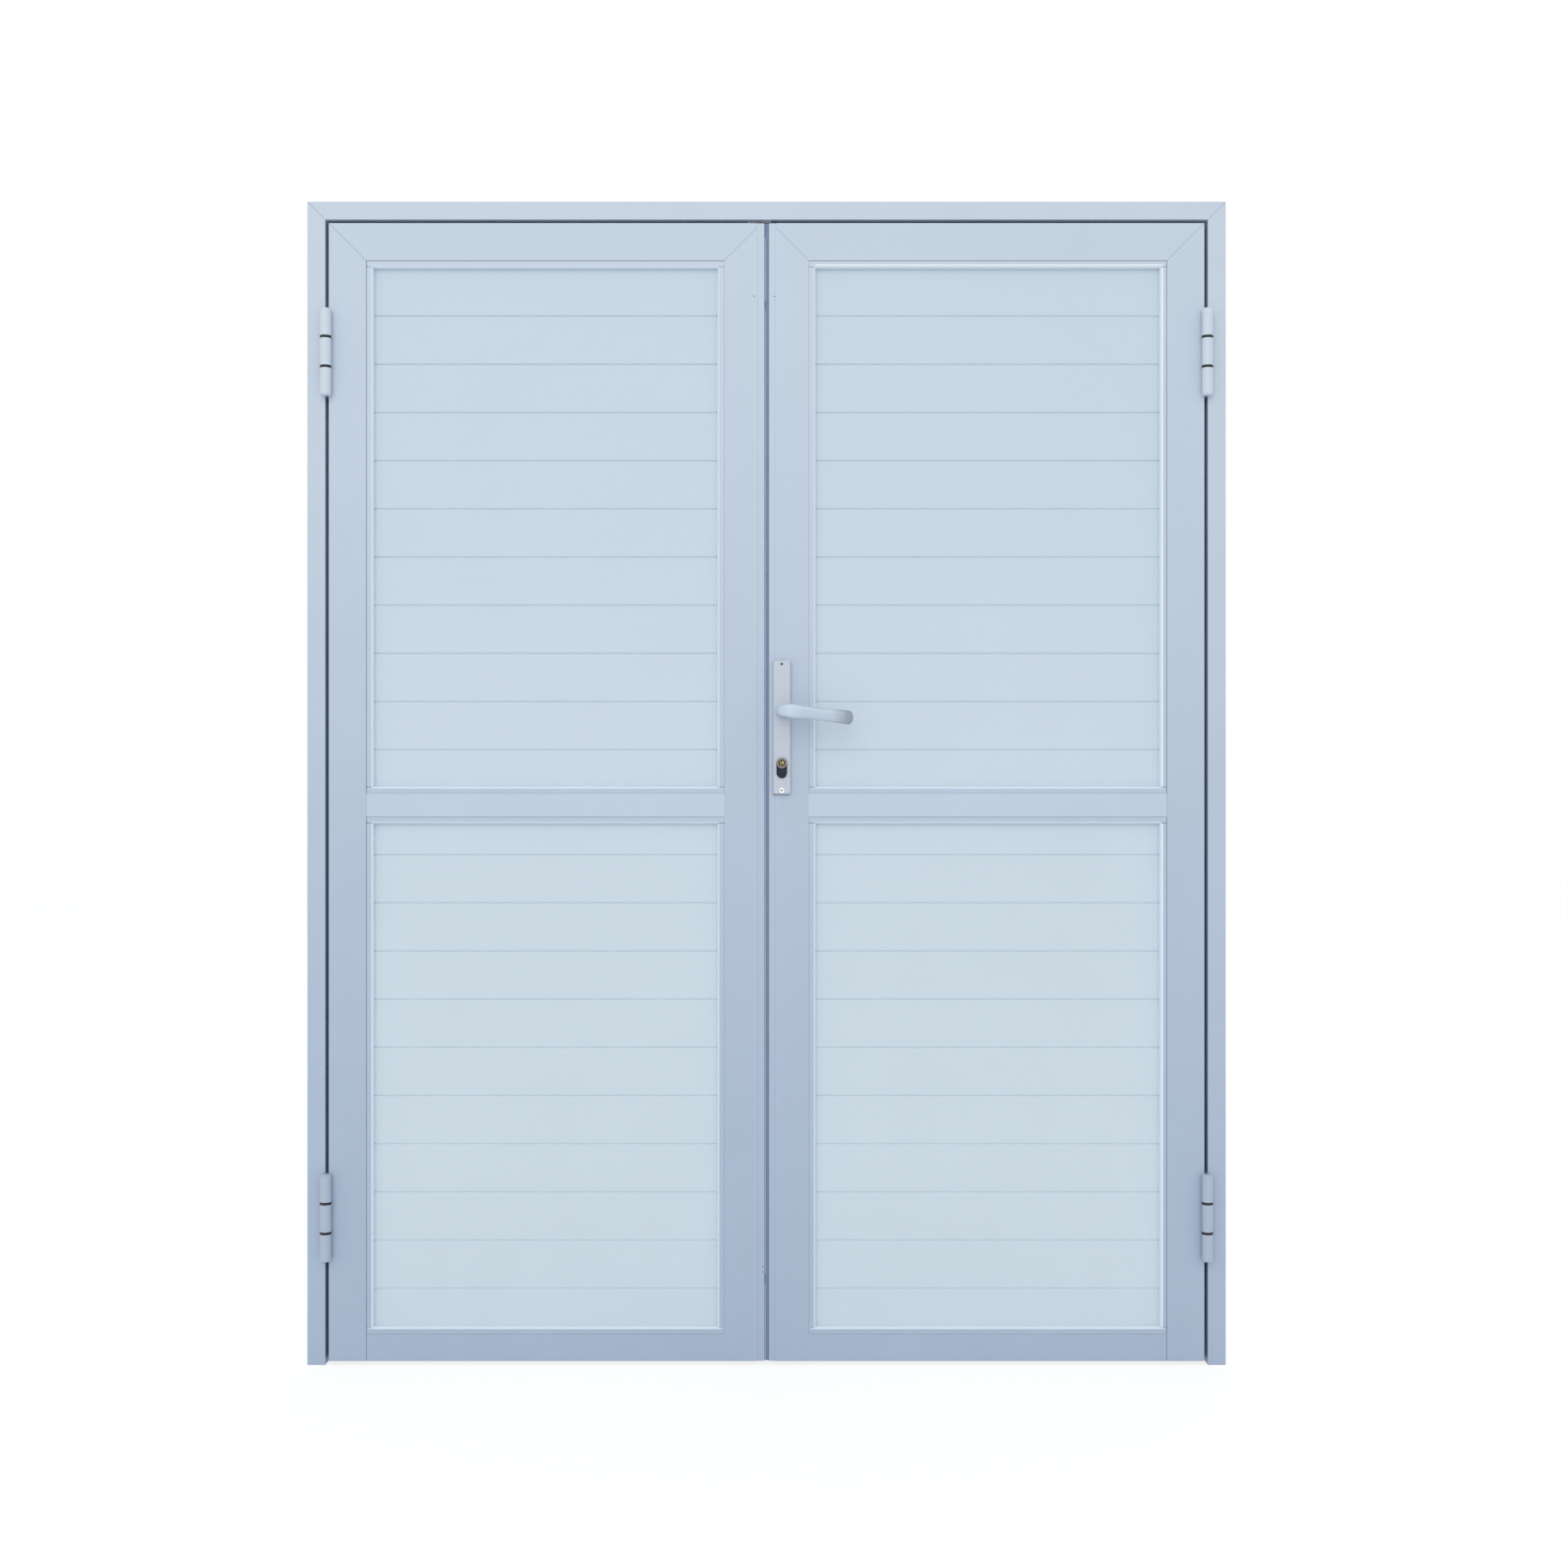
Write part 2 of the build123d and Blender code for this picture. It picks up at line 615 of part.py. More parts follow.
def adaptor_section():
    """Closing edge profile with a channel for plates, a rod chamber and a seal groove."""
    half = ADAPTOR_HALF_DEPTH
    bevel = ADAPTOR_FACE - ADAPTOR_SET_BACK
    body = outline([
        (0, -half), (bevel, -half), (ADAPTOR_FACE, FRONT),
        (ADAPTOR_FACE, BACK), (bevel, half), (0, half),
    ])
    channel = FOREND_WIDTH / 2 + FOREND_FIT
    inside = half - ADAPTOR_WALL
    body = body - rect(0, FOREND_THICKNESS, -channel, channel)
    body = body - rect(CHAMBER_START, CHAMBER_END, -inside, inside)
    half_root = SEAL_ROOT_WIDTH / 2
    return body - rect(0, SEAL_ROOT_DEPTH, SEAL_Y - half_root, SEAL_Y + half_root)


def adaptor():
    """Closing edge profile over the full height of a leaf."""
    return bar(adaptor_section(), (MEETING_EDGE, 0, FLOOR_GAP), (1, 0, 0), LEAF_HEIGHT)


def meeting_seal():
    """Seal in the adaptor's front groove, short of the other leaf by the sweep of its edge."""
    half_root = SEAL_ROOT_WIDTH / 2 - SEAL_FIT
    root = rect(0, SEAL_ROOT_DEPTH - SEAL_FIT, SEAL_Y - half_root, SEAL_Y + half_root)
    fin = rect(SEAL_SHORT - MEETING_GAP, 0, SEAL_Y - SEAL_FIN / 2, SEAL_Y + SEAL_FIN / 2)
    return bar(root + fin, (MEETING_EDGE, 0, FLOOR_GAP), (1, 0, 0), LEAF_HEIGHT)


# Planks and beads

def plank_section():
    """Hollow plank with its lower shoulder at u zero, a tongue above and a groove below."""
    half = PLANK_THICKNESS / 2
    tongue = TONGUE_THICKNESS / 2
    groove_end = TONGUE_HEIGHT + TONGUE_FIT
    inside = half - PLANK_WALL
    web = (groove_end + PLANK_PITCH) / 2
    body = chamfer(rect(0, PLANK_PITCH, -half, half).vertices(), PLANK_CHAMFER)
    body = body + rect(PLANK_PITCH, PLANK_PITCH + TONGUE_HEIGHT, -tongue, tongue)
    body = body - rect(0, groove_end, -tongue - TONGUE_FIT, tongue + TONGUE_FIT)
    body = body - rect(groove_end + PLANK_WALL, web, -inside, inside)
    return body - rect(web + PLANK_WALL, PLANK_PITCH - PLANK_WALL, -inside, inside)


def planks(low, high, joint_drop):
    """Planks of one panel between two rail faces, the end ones cut to fit.

    joint_drop is the depth of the highest joint below the upper rail's face.
    """
    section = plank_section()
    top_joint = high - joint_drop
    length = OPENING_WIDTH - 2 * PANEL_CLEARANCE
    start_x = HINGE_SIDE_FACE - PANEL_CLEARANCE
    room = block(
        MEETING_SIDE_FACE, HINGE_SIDE_FACE, FRONT, BACK, low + PANEL_CLEARANCE, high - PANEL_CLEARANCE
    )
    count = ceil((top_joint - low - PANEL_CLEARANCE) / PLANK_PITCH) + 1
    shoulders = [top_joint - step * PLANK_PITCH for step in range(count)]
    return [bar(section, (start_x, 0, z), (0, 0, 1), length) & room for z in shoulders]


def beads(low, high):
    """Beads of one panel: two along the rails and two between them along the stiles."""
    section = bead_section()
    side = high - low - 2 * BEAD_FACE
    return [
        bar(section, (HINGE_SIDE_FACE, 0, low), (0, 0, 1), OPENING_WIDTH),
        bar(section, (MEETING_SIDE_FACE, 0, high), (0, 0, -1), OPENING_WIDTH),
        bar(section, (MEETING_SIDE_FACE, 0, low + BEAD_FACE), (1, 0, 0), side),
        bar(section, (HINGE_SIDE_FACE, 0, high - BEAD_FACE), (-1, 0, 0), side),
    ]


# Connectors inside the leaf

def leaf_connectors():
    """Corner keys at the top of a leaf and connectors in the ends of its lower rails."""
    depth = LEAF_DEPTH - 2 * (LEAF_WALL + CLEAT_FIT)
    reach = LEAF_CLEAT_INSET + CLEAT_WIDTH
    hinge_key = l_cleat(HINGE_SIDE_FACE + reach, TOP_RAIL_FACE + reach, -1, CLEAT_WIDTH, depth)
    meeting_key = l_cleat(MEETING_SIDE_FACE - reach, TOP_RAIL_FACE + reach, 1, CLEAT_WIDTH, depth)
    inside = LEAF_WALL + CLEAT_FIT
    connectors = []
    for low, high in (
        (MIDDLE_RAIL_BOTTOM + inside, MIDDLE_RAIL_TOP - inside),
        (FLOOR_GAP + LEAF_WEB + CLEAT_FIT, BOTTOM_RAIL_TOP - inside),
    ):
        for start in (MEETING_SIDE_FACE, HINGE_SIDE_FACE - CONNECTOR_LENGTH):
            connectors.append(rail_connector(start, low, high))
    return [hinge_key, meeting_key, *connectors]


def rail_connector(start, low, high):
    """Hollow block inside the end of a rail, clear of the bead grooves and the glazing leg."""
    y0 = SNAP_Y + SNAP_WIDTH / 2 + SNAP_FIT + SNAP_WALL + CLEAT_FIT
    y1 = PANEL_FACE - CLEAT_FIT
    outer = block(start, start + CONNECTOR_LENGTH, y0, y1, low, high)
    wall = CLEAT_WALL
    return outer - block(
        start + wall, start + CONNECTOR_LENGTH - wall, y0, y1, low + wall, high - wall
    )


# Lock

def bolt_opening(height, x0, x1, fit):
    """Space for a bolt of the lock at a height, between two values of x."""
    half_y = BOLT_THICKNESS / 2 + fit
    half_z = BOLT_HEIGHT / 2 + fit
    return block(x0, x1, -half_y, half_y, height - half_z, height + half_z)


def edge_plate(fit):
    """Plate in the adaptor's channel with openings for both bolts and two screw holes."""
    half_width = FOREND_WIDTH / 2
    half = FOREND_LENGTH / 2
    plate = block(MEETING_EDGE, FOREND_BACK, -half_width, half_width, FOREND_Z - half, FOREND_Z + half)
    openings = [bolt_opening(z, 0, STILE_EDGE, fit) for z in (LATCH_Z, DEAD_BOLT_Z)]
    return cut_all(plate, openings + screws_at(edge_plate_screw_places(), (1, 0, 0), SCREW_FIT))


def edge_plate_screw_places():
    """Head centres of the screws in the forend and in the strike plate."""
    offset = FOREND_LENGTH / 2 - FOREND_SCREW_INSET
    return [(MEETING_EDGE, 0, FOREND_Z + side * offset) for side in (-1, 1)]


def case_opening():
    """Slot for the lock case through the adaptor and the edge of the meeting stile."""
    half_y = CASE_THICKNESS / 2 + CASE_FIT
    half_z = CASE_HEIGHT / 2 + CASE_FIT
    return block(FOREND_BACK, STILE_EDGE + LEAF_WALL, -half_y, half_y, FOREND_Z - half_z, FOREND_Z + half_z)


def oval_bar(grow, half_length):
    """Outline of an oval cylinder body, carried along Y."""
    foot_radius = CYLINDER_STEM_WIDTH / 2
    stem_end = CYLINDER_HEIGHT - CYLINDER_RADIUS - foot_radius
    section = Circle(CYLINDER_RADIUS + grow)
    section = section + Pos(0, -stem_end / 2) * Rectangle(CYLINDER_STEM_WIDTH + 2 * grow, stem_end)
    section = section + Pos(0, -stem_end) * Circle(foot_radius + grow)
    return extrude(Plane.XZ * Pos(LEVER_X, CYLINDER_Z) * section, amount=half_length, both=True)


def lock_case():
    """Case open at the forend, with shelves that guide the bolts and holes for follower and cylinder."""
    half_y = CASE_THICKNESS / 2
    half_z = CASE_HEIGHT / 2
    end = FOREND_BACK + CASE_DEPTH
    wall = CASE_WALL
    low = FOREND_Z - half_z
    high = FOREND_Z + half_z
    piece = block(FOREND_BACK, end, -half_y, half_y, low, high)
    piece = piece - block(FOREND_BACK, end - wall, wall - half_y, half_y - wall, low + wall, high - wall)
    shelf_y = half_y - wall / 2
    gap = BOLT_HEIGHT / 2 + BOLT_FIT
    for z, length in (
        (LATCH_Z + gap, SHELF_LENGTH),
        (LATCH_Z - gap - wall, LATCH_LOWER_SHELF),
        (DEAD_BOLT_Z + gap, SHELF_LENGTH),
        (DEAD_BOLT_Z - gap - wall, SHELF_LENGTH),
    ):
        piece = piece + block(FOREND_BACK, FOREND_BACK + length, -shelf_y, shelf_y, z, z + wall)
    follower_hole = rod_y(FOLLOWER_RADIUS + FOLLOWER_FIT, LEVER_X, LEVER_HEIGHT, -half_y, half_y)
    return piece - follower_hole - oval_bar(CYLINDER_FIT, CASE_THICKNESS)


def latch_bolt():
    """Latch with a bevelled nose, a slim tail and a peg for the follower's arm."""
    nose = MEETING_EDGE - LATCH_STANDS_OUT
    head_end = nose + LATCH_HEAD_LENGTH
    half_y = BOLT_THICKNESS / 2
    half_z = BOLT_HEIGHT / 2
    head = block(nose, head_end, -half_y, half_y, LATCH_Z - half_z, LATCH_Z + half_z)
    edge = head.edges().filter_by(Axis.Z).group_by(Axis.X)[0].sort_by(Axis.Y)[-1]
    head = chamfer(edge, LATCH_BEVEL)
    half_tail = LATCH_TAIL_THICKNESS / 2
    tail_z = LATCH_TAIL_HEIGHT / 2
    tail = block(
        head_end, head_end + LATCH_TAIL_LENGTH, -half_tail, half_tail, LATCH_Z - tail_z, LATCH_Z + tail_z
    )
    peg_start = LEVER_X + FOLLOWER_ARM_WIDTH / 2 + PEG_CLEARANCE
    peg_bottom = LEVER_HEIGHT + PEG_BOTTOM_ABOVE_LEVER
    peg = block(peg_start, peg_start + PEG_WIDTH, -half_tail, half_tail, peg_bottom, LATCH_Z)
    return head + tail + peg


def dead_bolt():
    """Plain bolt, drawn back behind the forend."""
    start = MEETING_EDGE + DEAD_BOLT_SUNK
    half_y = BOLT_THICKNESS / 2
    half_z = BOLT_HEIGHT / 2
    return block(start, start + DEAD_BOLT_LENGTH, -half_y, half_y, DEAD_BOLT_Z - half_z, DEAD_BOLT_Z + half_z)


def drooped(piece):
    """A piece drawn round the lever's axis, put in place at the lever's resting angle."""
    return Pos(LEVER_X, 0, LEVER_HEIGHT) * Rot(0, LEVER_DROOP, 0) * piece


def spindle(fit=0.0):
    """Square bar through both levers and the follower."""
    side = SPINDLE_SIZE + 2 * fit
    return drooped(Box(side, 2 * (SPINDLE_HALF_LENGTH + fit), side))


def follower():
    """Hub turning in the case, with an arm that draws the latch back."""
    half = CASE_THICKNESS / 2
    arm_half = FOLLOWER_ARM_THICKNESS / 2
    tip_radius = FOLLOWER_ARM_WIDTH / 2
    tip = LEVER_HEIGHT + FOLLOWER_ARM_REACH - tip_radius
    hub = rod_y(FOLLOWER_RADIUS, LEVER_X, LEVER_HEIGHT, -half, half)
    arm = block(LEVER_X - tip_radius, LEVER_X + tip_radius, -arm_half, arm_half, LEVER_HEIGHT, tip)
    return hub + arm + rod_y(tip_radius, LEVER_X, tip, -arm_half, arm_half) - spindle(SPINDLE_FIT)


# Handle set

def lever():
    """Front lever on its own axis: a round neck, a bend, a flat grip and a tip that turns back."""
    centre_y = FRONT - LEVER_REACH + GRIP_THICKNESS / 2
    end_x = LEVER_LENGTH - GRIP_THICKNESS / 2
    bend_y = centre_y + GRIP_BEND
    path = FilletPolyline(
        (0, bend_y + 1), (0, centre_y), (end_x, centre_y), (end_x, centre_y + TIP_RETURN),
        radius=[GRIP_BEND, TIP_BEND],
    )
    start = Plane(origin=path @ 0, x_dir=(1, 0, 0), z_dir=(0, -1, 0))
    grip = sweep(start * RectangleRounded(GRIP_THICKNESS, GRIP_HEIGHT, GRIP_ROUNDING), path=path)
    neck = rod_y(NECK_RADIUS, 0, 0, bend_y - 1, FRONT - NECK_ROOT_DEPTH)
    return drooped(grip + neck) - spindle(SPINDLE_FIT)


def plate_screw_heights():
    """Heights of the two screws through the backplates."""
    return [PLATE_Z + side * PLATE_SCREW_SPACING / 2 for side in (-1, 1)]


def handle_screw(grow=0.0):
    """Countersunk bolt through the front plate and the stile into the rear plate, at height zero."""
    end = BACK + PLATE_THICKNESS - PLATE_FACE_WALL + grow
    top = (Align.CENTER, Align.CENTER, Align.MAX)
    head = Cone(
        PLATE_SCREW_RADIUS + grow, PLATE_SCREW_HEAD_RADIUS + grow, PLATE_SCREW_HEAD_HEIGHT, align=top
    )
    head = Plane(origin=(LEVER_X, PLATE_FRONT, 0), z_dir=(0, -1, 0)) * head
    return head + rod_y(PLATE_SCREW_RADIUS + grow, LEVER_X, 0, PLATE_FRONT, end)


def handle_screws(grow=0.0):
    """Both bolts of the handle set."""
    return [Pos(0, 0, z) * handle_screw(grow) for z in plate_screw_heights()]


def backplate():
    """Hollow front plate with screw bosses, a neck hole and a cylinder hole, before its screw holes."""
    outer = block(
        LEVER_X - PLATE_WIDTH / 2, LEVER_X + PLATE_WIDTH / 2, PLATE_FRONT, FRONT,
        PLATE_Z - PLATE_LENGTH / 2, PLATE_Z + PLATE_LENGTH / 2,
    )
    outer = fillet(outer.edges().filter_by(Axis.Y), PLATE_CORNER)
    outer = fillet(outer.faces().sort_by(Axis.Y)[0].edges(), PLATE_ROUNDING)
    inner_width = PLATE_WIDTH - 2 * PLATE_SIDE_WALL
    inner_length = PLATE_LENGTH - 2 * PLATE_SIDE_WALL
    pocket = block(
        LEVER_X - inner_width / 2, LEVER_X + inner_width / 2, PLATE_FRONT + PLATE_FACE_WALL, FRONT,
        PLATE_Z - inner_length / 2, PLATE_Z + inner_length / 2,
    )
    bosses = [rod_y(PLATE_BOSS_RADIUS, LEVER_X, z, PLATE_FRONT + 1, FRONT) for z in plate_screw_heights()]
    neck_hole = rod_y(NECK_RADIUS + NECK_FIT, LEVER_X, LEVER_HEIGHT, PLATE_FRONT, FRONT)
    plate = outer - pocket
    for boss in bosses:
        plate = plate + boss
    return plate - neck_hole - oval_bar(CYLINDER_FIT, -PLATE_FRONT)


# Cylinder

def cylinder_body():
    """Fixed body of the cylinder, bored for the plugs and slotted for the cam."""
    body = oval_bar(0, CYLINDER_END)
    bore = rod_y(PLUG_RADIUS + PLUG_FIT, LEVER_X, CYLINDER_Z, -CYLINDER_END, CYLINDER_END)
    slot = block(
        LEVER_X - CYLINDER_HEIGHT, LEVER_X + CYLINDER_HEIGHT, -CAM_SLOT / 2, CAM_SLOT / 2,
        CYLINDER_Z - CAM_REACH - CAM_CLEARANCE, CYLINDER_Z + CYLINDER_HEIGHT,
    )
    return body - bore - slot


def cylinder_plug():
    """Front plug with its keyway."""
    plug = rod_y(PLUG_RADIUS, LEVER_X, CYLINDER_Z, -CYLINDER_END, -CAM_SLOT / 2)
    half_width = KEYWAY_WIDTH / 2
    half_height = KEYWAY_HEIGHT / 2
    return plug - block(
        LEVER_X - half_width, LEVER_X + half_width, -CYLINDER_END, KEYWAY_DEPTH - CYLINDER_END,
        CYLINDER_Z - half_height, CYLINDER_Z + half_height,
    )


def cylinder_cam():
    """Cam between the plugs, with a lobe that throws the dead bolt."""
    half = CAM_WIDTH / 2
    lobe = block(-CAM_LOBE_WIDTH / 2, CAM_LOBE_WIDTH / 2, -half, half, -CAM_REACH, 0)
    lobe = Pos(LEVER_X, 0, CYLINDER_Z) * Rot(0, CAM_REST_ANGLE, 0) * lobe
    return rod_y(CAM_HUB_RADIUS, LEVER_X, CYLINDER_Z, -half, half) + lobe


# Flush bolts, drawn on the right side of the door and mirrored onto the left leaf

def flush_parts(end, inward):
    """Rod with its thumb piece, edge plate, guides and slot at one end of the leaf.

    end is the height of the leaf's end, and inward is 1 or -1, the way along Z into the leaf.
    """
    middle = end + inward * FLUSH_FRONT_INSET
    thumb_z = middle + inward * ROD_TRAVEL / 2
    rod_end = end + inward * ROD_END_CLEARANCE
    rod_back = end + inward * ROD_LENGTH
    rod = upright(ROD_RADIUS, ROD_X, 0, min(rod_end, rod_back), max(rod_end, rod_back))
    half_stem = THUMB_STEM / 2
    thumb_front = MEETING_EDGE - THUMB_PROUD
    stem = block(thumb_front, ROD_X, -half_stem, half_stem, thumb_z - THUMB_STEM, thumb_z + THUMB_STEM)
    thumb = block(
        thumb_front, MEETING_EDGE - THUMB_FIT, -THUMB_WIDTH / 2, THUMB_WIDTH / 2,
        thumb_z - THUMB_HEIGHT / 2, thumb_z + THUMB_HEIGHT / 2,
    )
    slot_half = ROD_TRAVEL / 2 + THUMB_STEM + THUMB_FIT
    slot = block(
        0, MEETING_EDGE + CHAMBER_START, -half_stem - THUMB_FIT, half_stem + THUMB_FIT,
        middle - slot_half, middle + slot_half,
    )
    half = FLUSH_FRONT_LENGTH / 2
    half_width = FOREND_WIDTH / 2
    front = block(MEETING_EDGE, FOREND_BACK, -half_width, half_width, middle - half, middle + half)
    offset = half - FOREND_SCREW_INSET
    places = [(MEETING_EDGE, FLUSH_SCREW_OFFSET, middle + side * offset) for side in (-1, 1)]
    front = cut_all(front - slot, screws_at(places, (1, 0, 0), SCREW_FIT))
    inner_guide = rod_back - inward * (GUIDE_HEIGHT + GUIDE_BACK_INSET)
    guides = [rod_guide(z, inward) for z in (end, inner_guide)]
    return {"bolt": rod + stem + thumb, "front": front, "guides": guides, "slot": slot, "screws": places}


def rod_guide(end, inward):
    """Guide block in the adaptor's chamber, from a height inwards."""
    inside = ADAPTOR_HALF_DEPTH - ADAPTOR_WALL - GUIDE_FIT
    z0, z1 = sorted((end, end + inward * GUIDE_HEIGHT))
    x0 = MEETING_EDGE + CHAMBER_START + GUIDE_FIT
    x1 = MEETING_EDGE + CHAMBER_END - GUIDE_FIT
    outer = block(x0, x1, -inside, inside, z0, z1)
    return outer - upright(ROD_RADIUS + GUIDE_BORE_FIT, ROD_X, 0, z0, z1)


def keep_screw_places():
    """Head centres of the screws that hold the bolt keep under the head."""
    return [(ROD_X + side * KEEP_SCREW_SPACING / 2, 0, HEAD_INNER - KEEP_THICKNESS) for side in (-1, 1)]


def keep_hole():
    """Hole for the top flush bolt through the keep and the head's lower wall."""
    return upright(ROD_RADIUS + KEEP_HOLE_FIT, ROD_X, 0, HEAD_INNER - KEEP_THICKNESS, HEAD_INNER + FRAME_WALL)


def bolt_keep():
    """Plate under the head that receives the top flush bolt."""
    plate = block(
        ROD_X - KEEP_LENGTH / 2, ROD_X + KEEP_LENGTH / 2, -KEEP_WIDTH / 2, KEEP_WIDTH / 2,
        HEAD_INNER - KEEP_THICKNESS, HEAD_INNER,
    )
    return cut_all(plate, [keep_hole(), *screws_at(keep_screw_places(), (0, 0, 1), SCREW_FIT)])


# Writing each sub-assembly

def write_frame():
    """Frame profiles, gaskets, corner keys, frame side of the hinges and the bolt keep."""
    wing_places = wing_screw_places(FRAME_INNER - WING_THICKNESS)
    wing_screws = [s for piece in screws_at(wing_places, (1, 0, 0)) for s in at_hinges(piece)]
    wing_holes = [s for piece in screws_at(wing_places, (1, 0, 0), SCREW_FIT) for s in at_hinges(piece)]
    right = cut_all(jamb(frame_section()), wing_holes + jamb_fixing_holes())
    keep_screws = [mirrored(piece) for piece in screws_at(keep_screw_places(), (0, 0, 1))]
    keep_cuts = [keep_hole(), *screws_at(keep_screw_places(), (0, 0, 1), SCREW_FIT)]
    top = cut_all(head(frame_section()), [mirrored(cut) for cut in keep_cuts] + head_fixing_holes())
    wings = at_hinges(frame_wing())
    pins = at_hinges(hinge_pin())
    write("right_jamb_profile", right)
    write("left_jamb_profile", mirrored(right))
    write("head_profile", top)
    write("frame_corner_cleats", frame_cleat(), mirrored(frame_cleat()))
    write("right_jamb_gasket", jamb(gasket_section()))
    write("left_jamb_gasket", mirrored(jamb(gasket_section())))
    write("head_gasket", head(gasket_section()))
    write("right_frame_hinge_wings", *wings)
    write("left_frame_hinge_wings", *[mirrored(piece) for piece in wings])
    write("right_hinge_pins", *pins)
    write("left_hinge_pins", *[mirrored(piece) for piece in pins])
    write("head_bolt_keep", mirrored(bolt_keep()))
    write("frame_screws", *wing_screws, *[mirrored(piece) for piece in wing_screws], *keep_screws)


def leaf_pieces():
    """Pieces that both leaves share, drawn for the right leaf, by the name of their node."""
    bush = hinge_bush()
    bushes = [bush, mirror(bush, about=Plane.XY)]
    return {
        "hinge_stile": [hinge_stile()],
        "top_rail": [top_rail()],
        "middle_rail": [middle_rail()],
        "bottom_rail": [bottom_rail()],
        "upper_planks": planks(MIDDLE_RAIL_TOP, TOP_RAIL_FACE, UPPER_JOINT_DROP),
        "lower_planks": planks(BOTTOM_RAIL_TOP, MIDDLE_RAIL_BOTTOM, LOWER_JOINT_DROP),
        "upper_beads": beads(MIDDLE_RAIL_TOP, TOP_RAIL_FACE),
        "lower_beads": beads(BOTTOM_RAIL_TOP, MIDDLE_RAIL_BOTTOM),
        "leaf_connectors": leaf_connectors(),
        "leaf_hinge_wings": at_hinges(leaf_wing()),
        "hinge_bushes": [place for piece in bushes for place in at_hinges(piece)],
    }


def leaf_screws(edge_places):
    """Screws of the leaf's hinge wings and of the plates in its closing edge."""
    wing_places = wing_screw_places(LEAF_EDGE + WING_THICKNESS)
    wing_screws = [s for piece in screws_at(wing_places, (-1, 0, 0)) for s in at_hinges(piece)]
    return wing_screws + screws_at(edge_places, (1, 0, 0))


def write_right_leaf(shared):
    """Active leaf with the lock, the cylinder and the handle set."""
    places = edge_plate_screw_places()
    holes = screws_at(places, (1, 0, 0), SCREW_FIT)
    cylinder_hole = oval_bar(CYLINDER_FIT, LEAF_DEPTH)
    spindle_hole = rod_y(SPINDLE_HOLE_RADIUS, LEVER_X, LEVER_HEIGHT, FRONT, BACK)
    stile_cuts = [case_opening(), cylinder_hole, spindle_hole, *handle_screws(SCREW_FIT)]
    plate = backplate()
    rear_plate = mirror(plate, about=Plane.XZ)
    front_lever = lever()
    for name, pieces in shared.items():
        write(f"right_{name}", *pieces)
    write("right_meeting_stile", cut_all(meeting_stile(), stile_cuts))
    write("right_meeting_adaptor", cut_all(adaptor(), [case_opening(), cylinder_hole, *holes]))
    write("right_leaf_screws", *leaf_screws(places))
    write("meeting_seal", meeting_seal())
    write("lock_case", lock_case())
    write("lock_forend", edge_plate(BOLT_FIT))
    write("latch_bolt", latch_bolt())
    write("dead_bolt", dead_bolt())
    write("follower", follower())
    write("spindle", spindle())
    write("front_lever", front_lever)
    write("rear_lever", mirror(front_lever, about=Plane.XZ))
    write("front_backplate", cut_all(plate, handle_screws(SCREW_FIT)))
    write("rear_backplate", cut_all(rear_plate, handle_screws(SCREW_FIT)))
    write("handle_screws", *handle_screws())
    write("cylinder_body", cylinder_body())
    plug = cylinder_plug()
    write("cylinder_rotor", plug, mirror(plug, about=Plane.XZ), cylinder_cam())


def write_left_leaf(shared):
    """Passive leaf with the strike plate and the flush bolts."""
    flush = {"top": flush_parts(LEAF_TOP, -1), "bottom": flush_parts(FLOOR_GAP, 1)}
    flush_places = [place for parts in flush.values() for place in parts["screws"]]
    places = edge_plate_screw_places() + flush_places
    holes = screws_at(places, (1, 0, 0), SCREW_FIT)
    pockets = [
        bolt_opening(z, FOREND_BACK, STILE_EDGE + LEAF_WALL, STRIKE_FIT) for z in (LATCH_Z, DEAD_BOLT_Z)
    ]
    slots = [parts["slot"] for parts in flush.values()]
    guides = [guide for parts in flush.values() for guide in parts["guides"]]
    for name, pieces in shared.items():
        write(f"left_{name}", *[mirrored(piece) for piece in pieces])
    write("left_meeting_stile", mirrored(cut_all(meeting_stile(), pockets)))
    write("left_meeting_adaptor", mirrored(cut_all(adaptor(), pockets + slots + holes)))
    write("left_leaf_screws", *[mirrored(piece) for piece in leaf_screws(places)])
    write("strike_plate", mirrored(edge_plate(STRIKE_FIT)))
    write("flush_bolt_fronts", *[mirrored(parts["front"]) for parts in flush.values()])
    write("flush_bolt_guides", *[mirrored(guide) for guide in guides])
    write("top_flush_bolt", mirrored(flush["top"]["bolt"]))
    write("bottom_flush_bolt", mirrored(flush["bottom"]["bolt"]))


os.makedirs("parts", exist_ok=True)
write_frame()
shared_pieces = leaf_pieces()
write_right_leaf(shared_pieces)
write_left_leaf(shared_pieces)
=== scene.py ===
import logging
import math
from dataclasses import dataclass, field
from enum import Enum

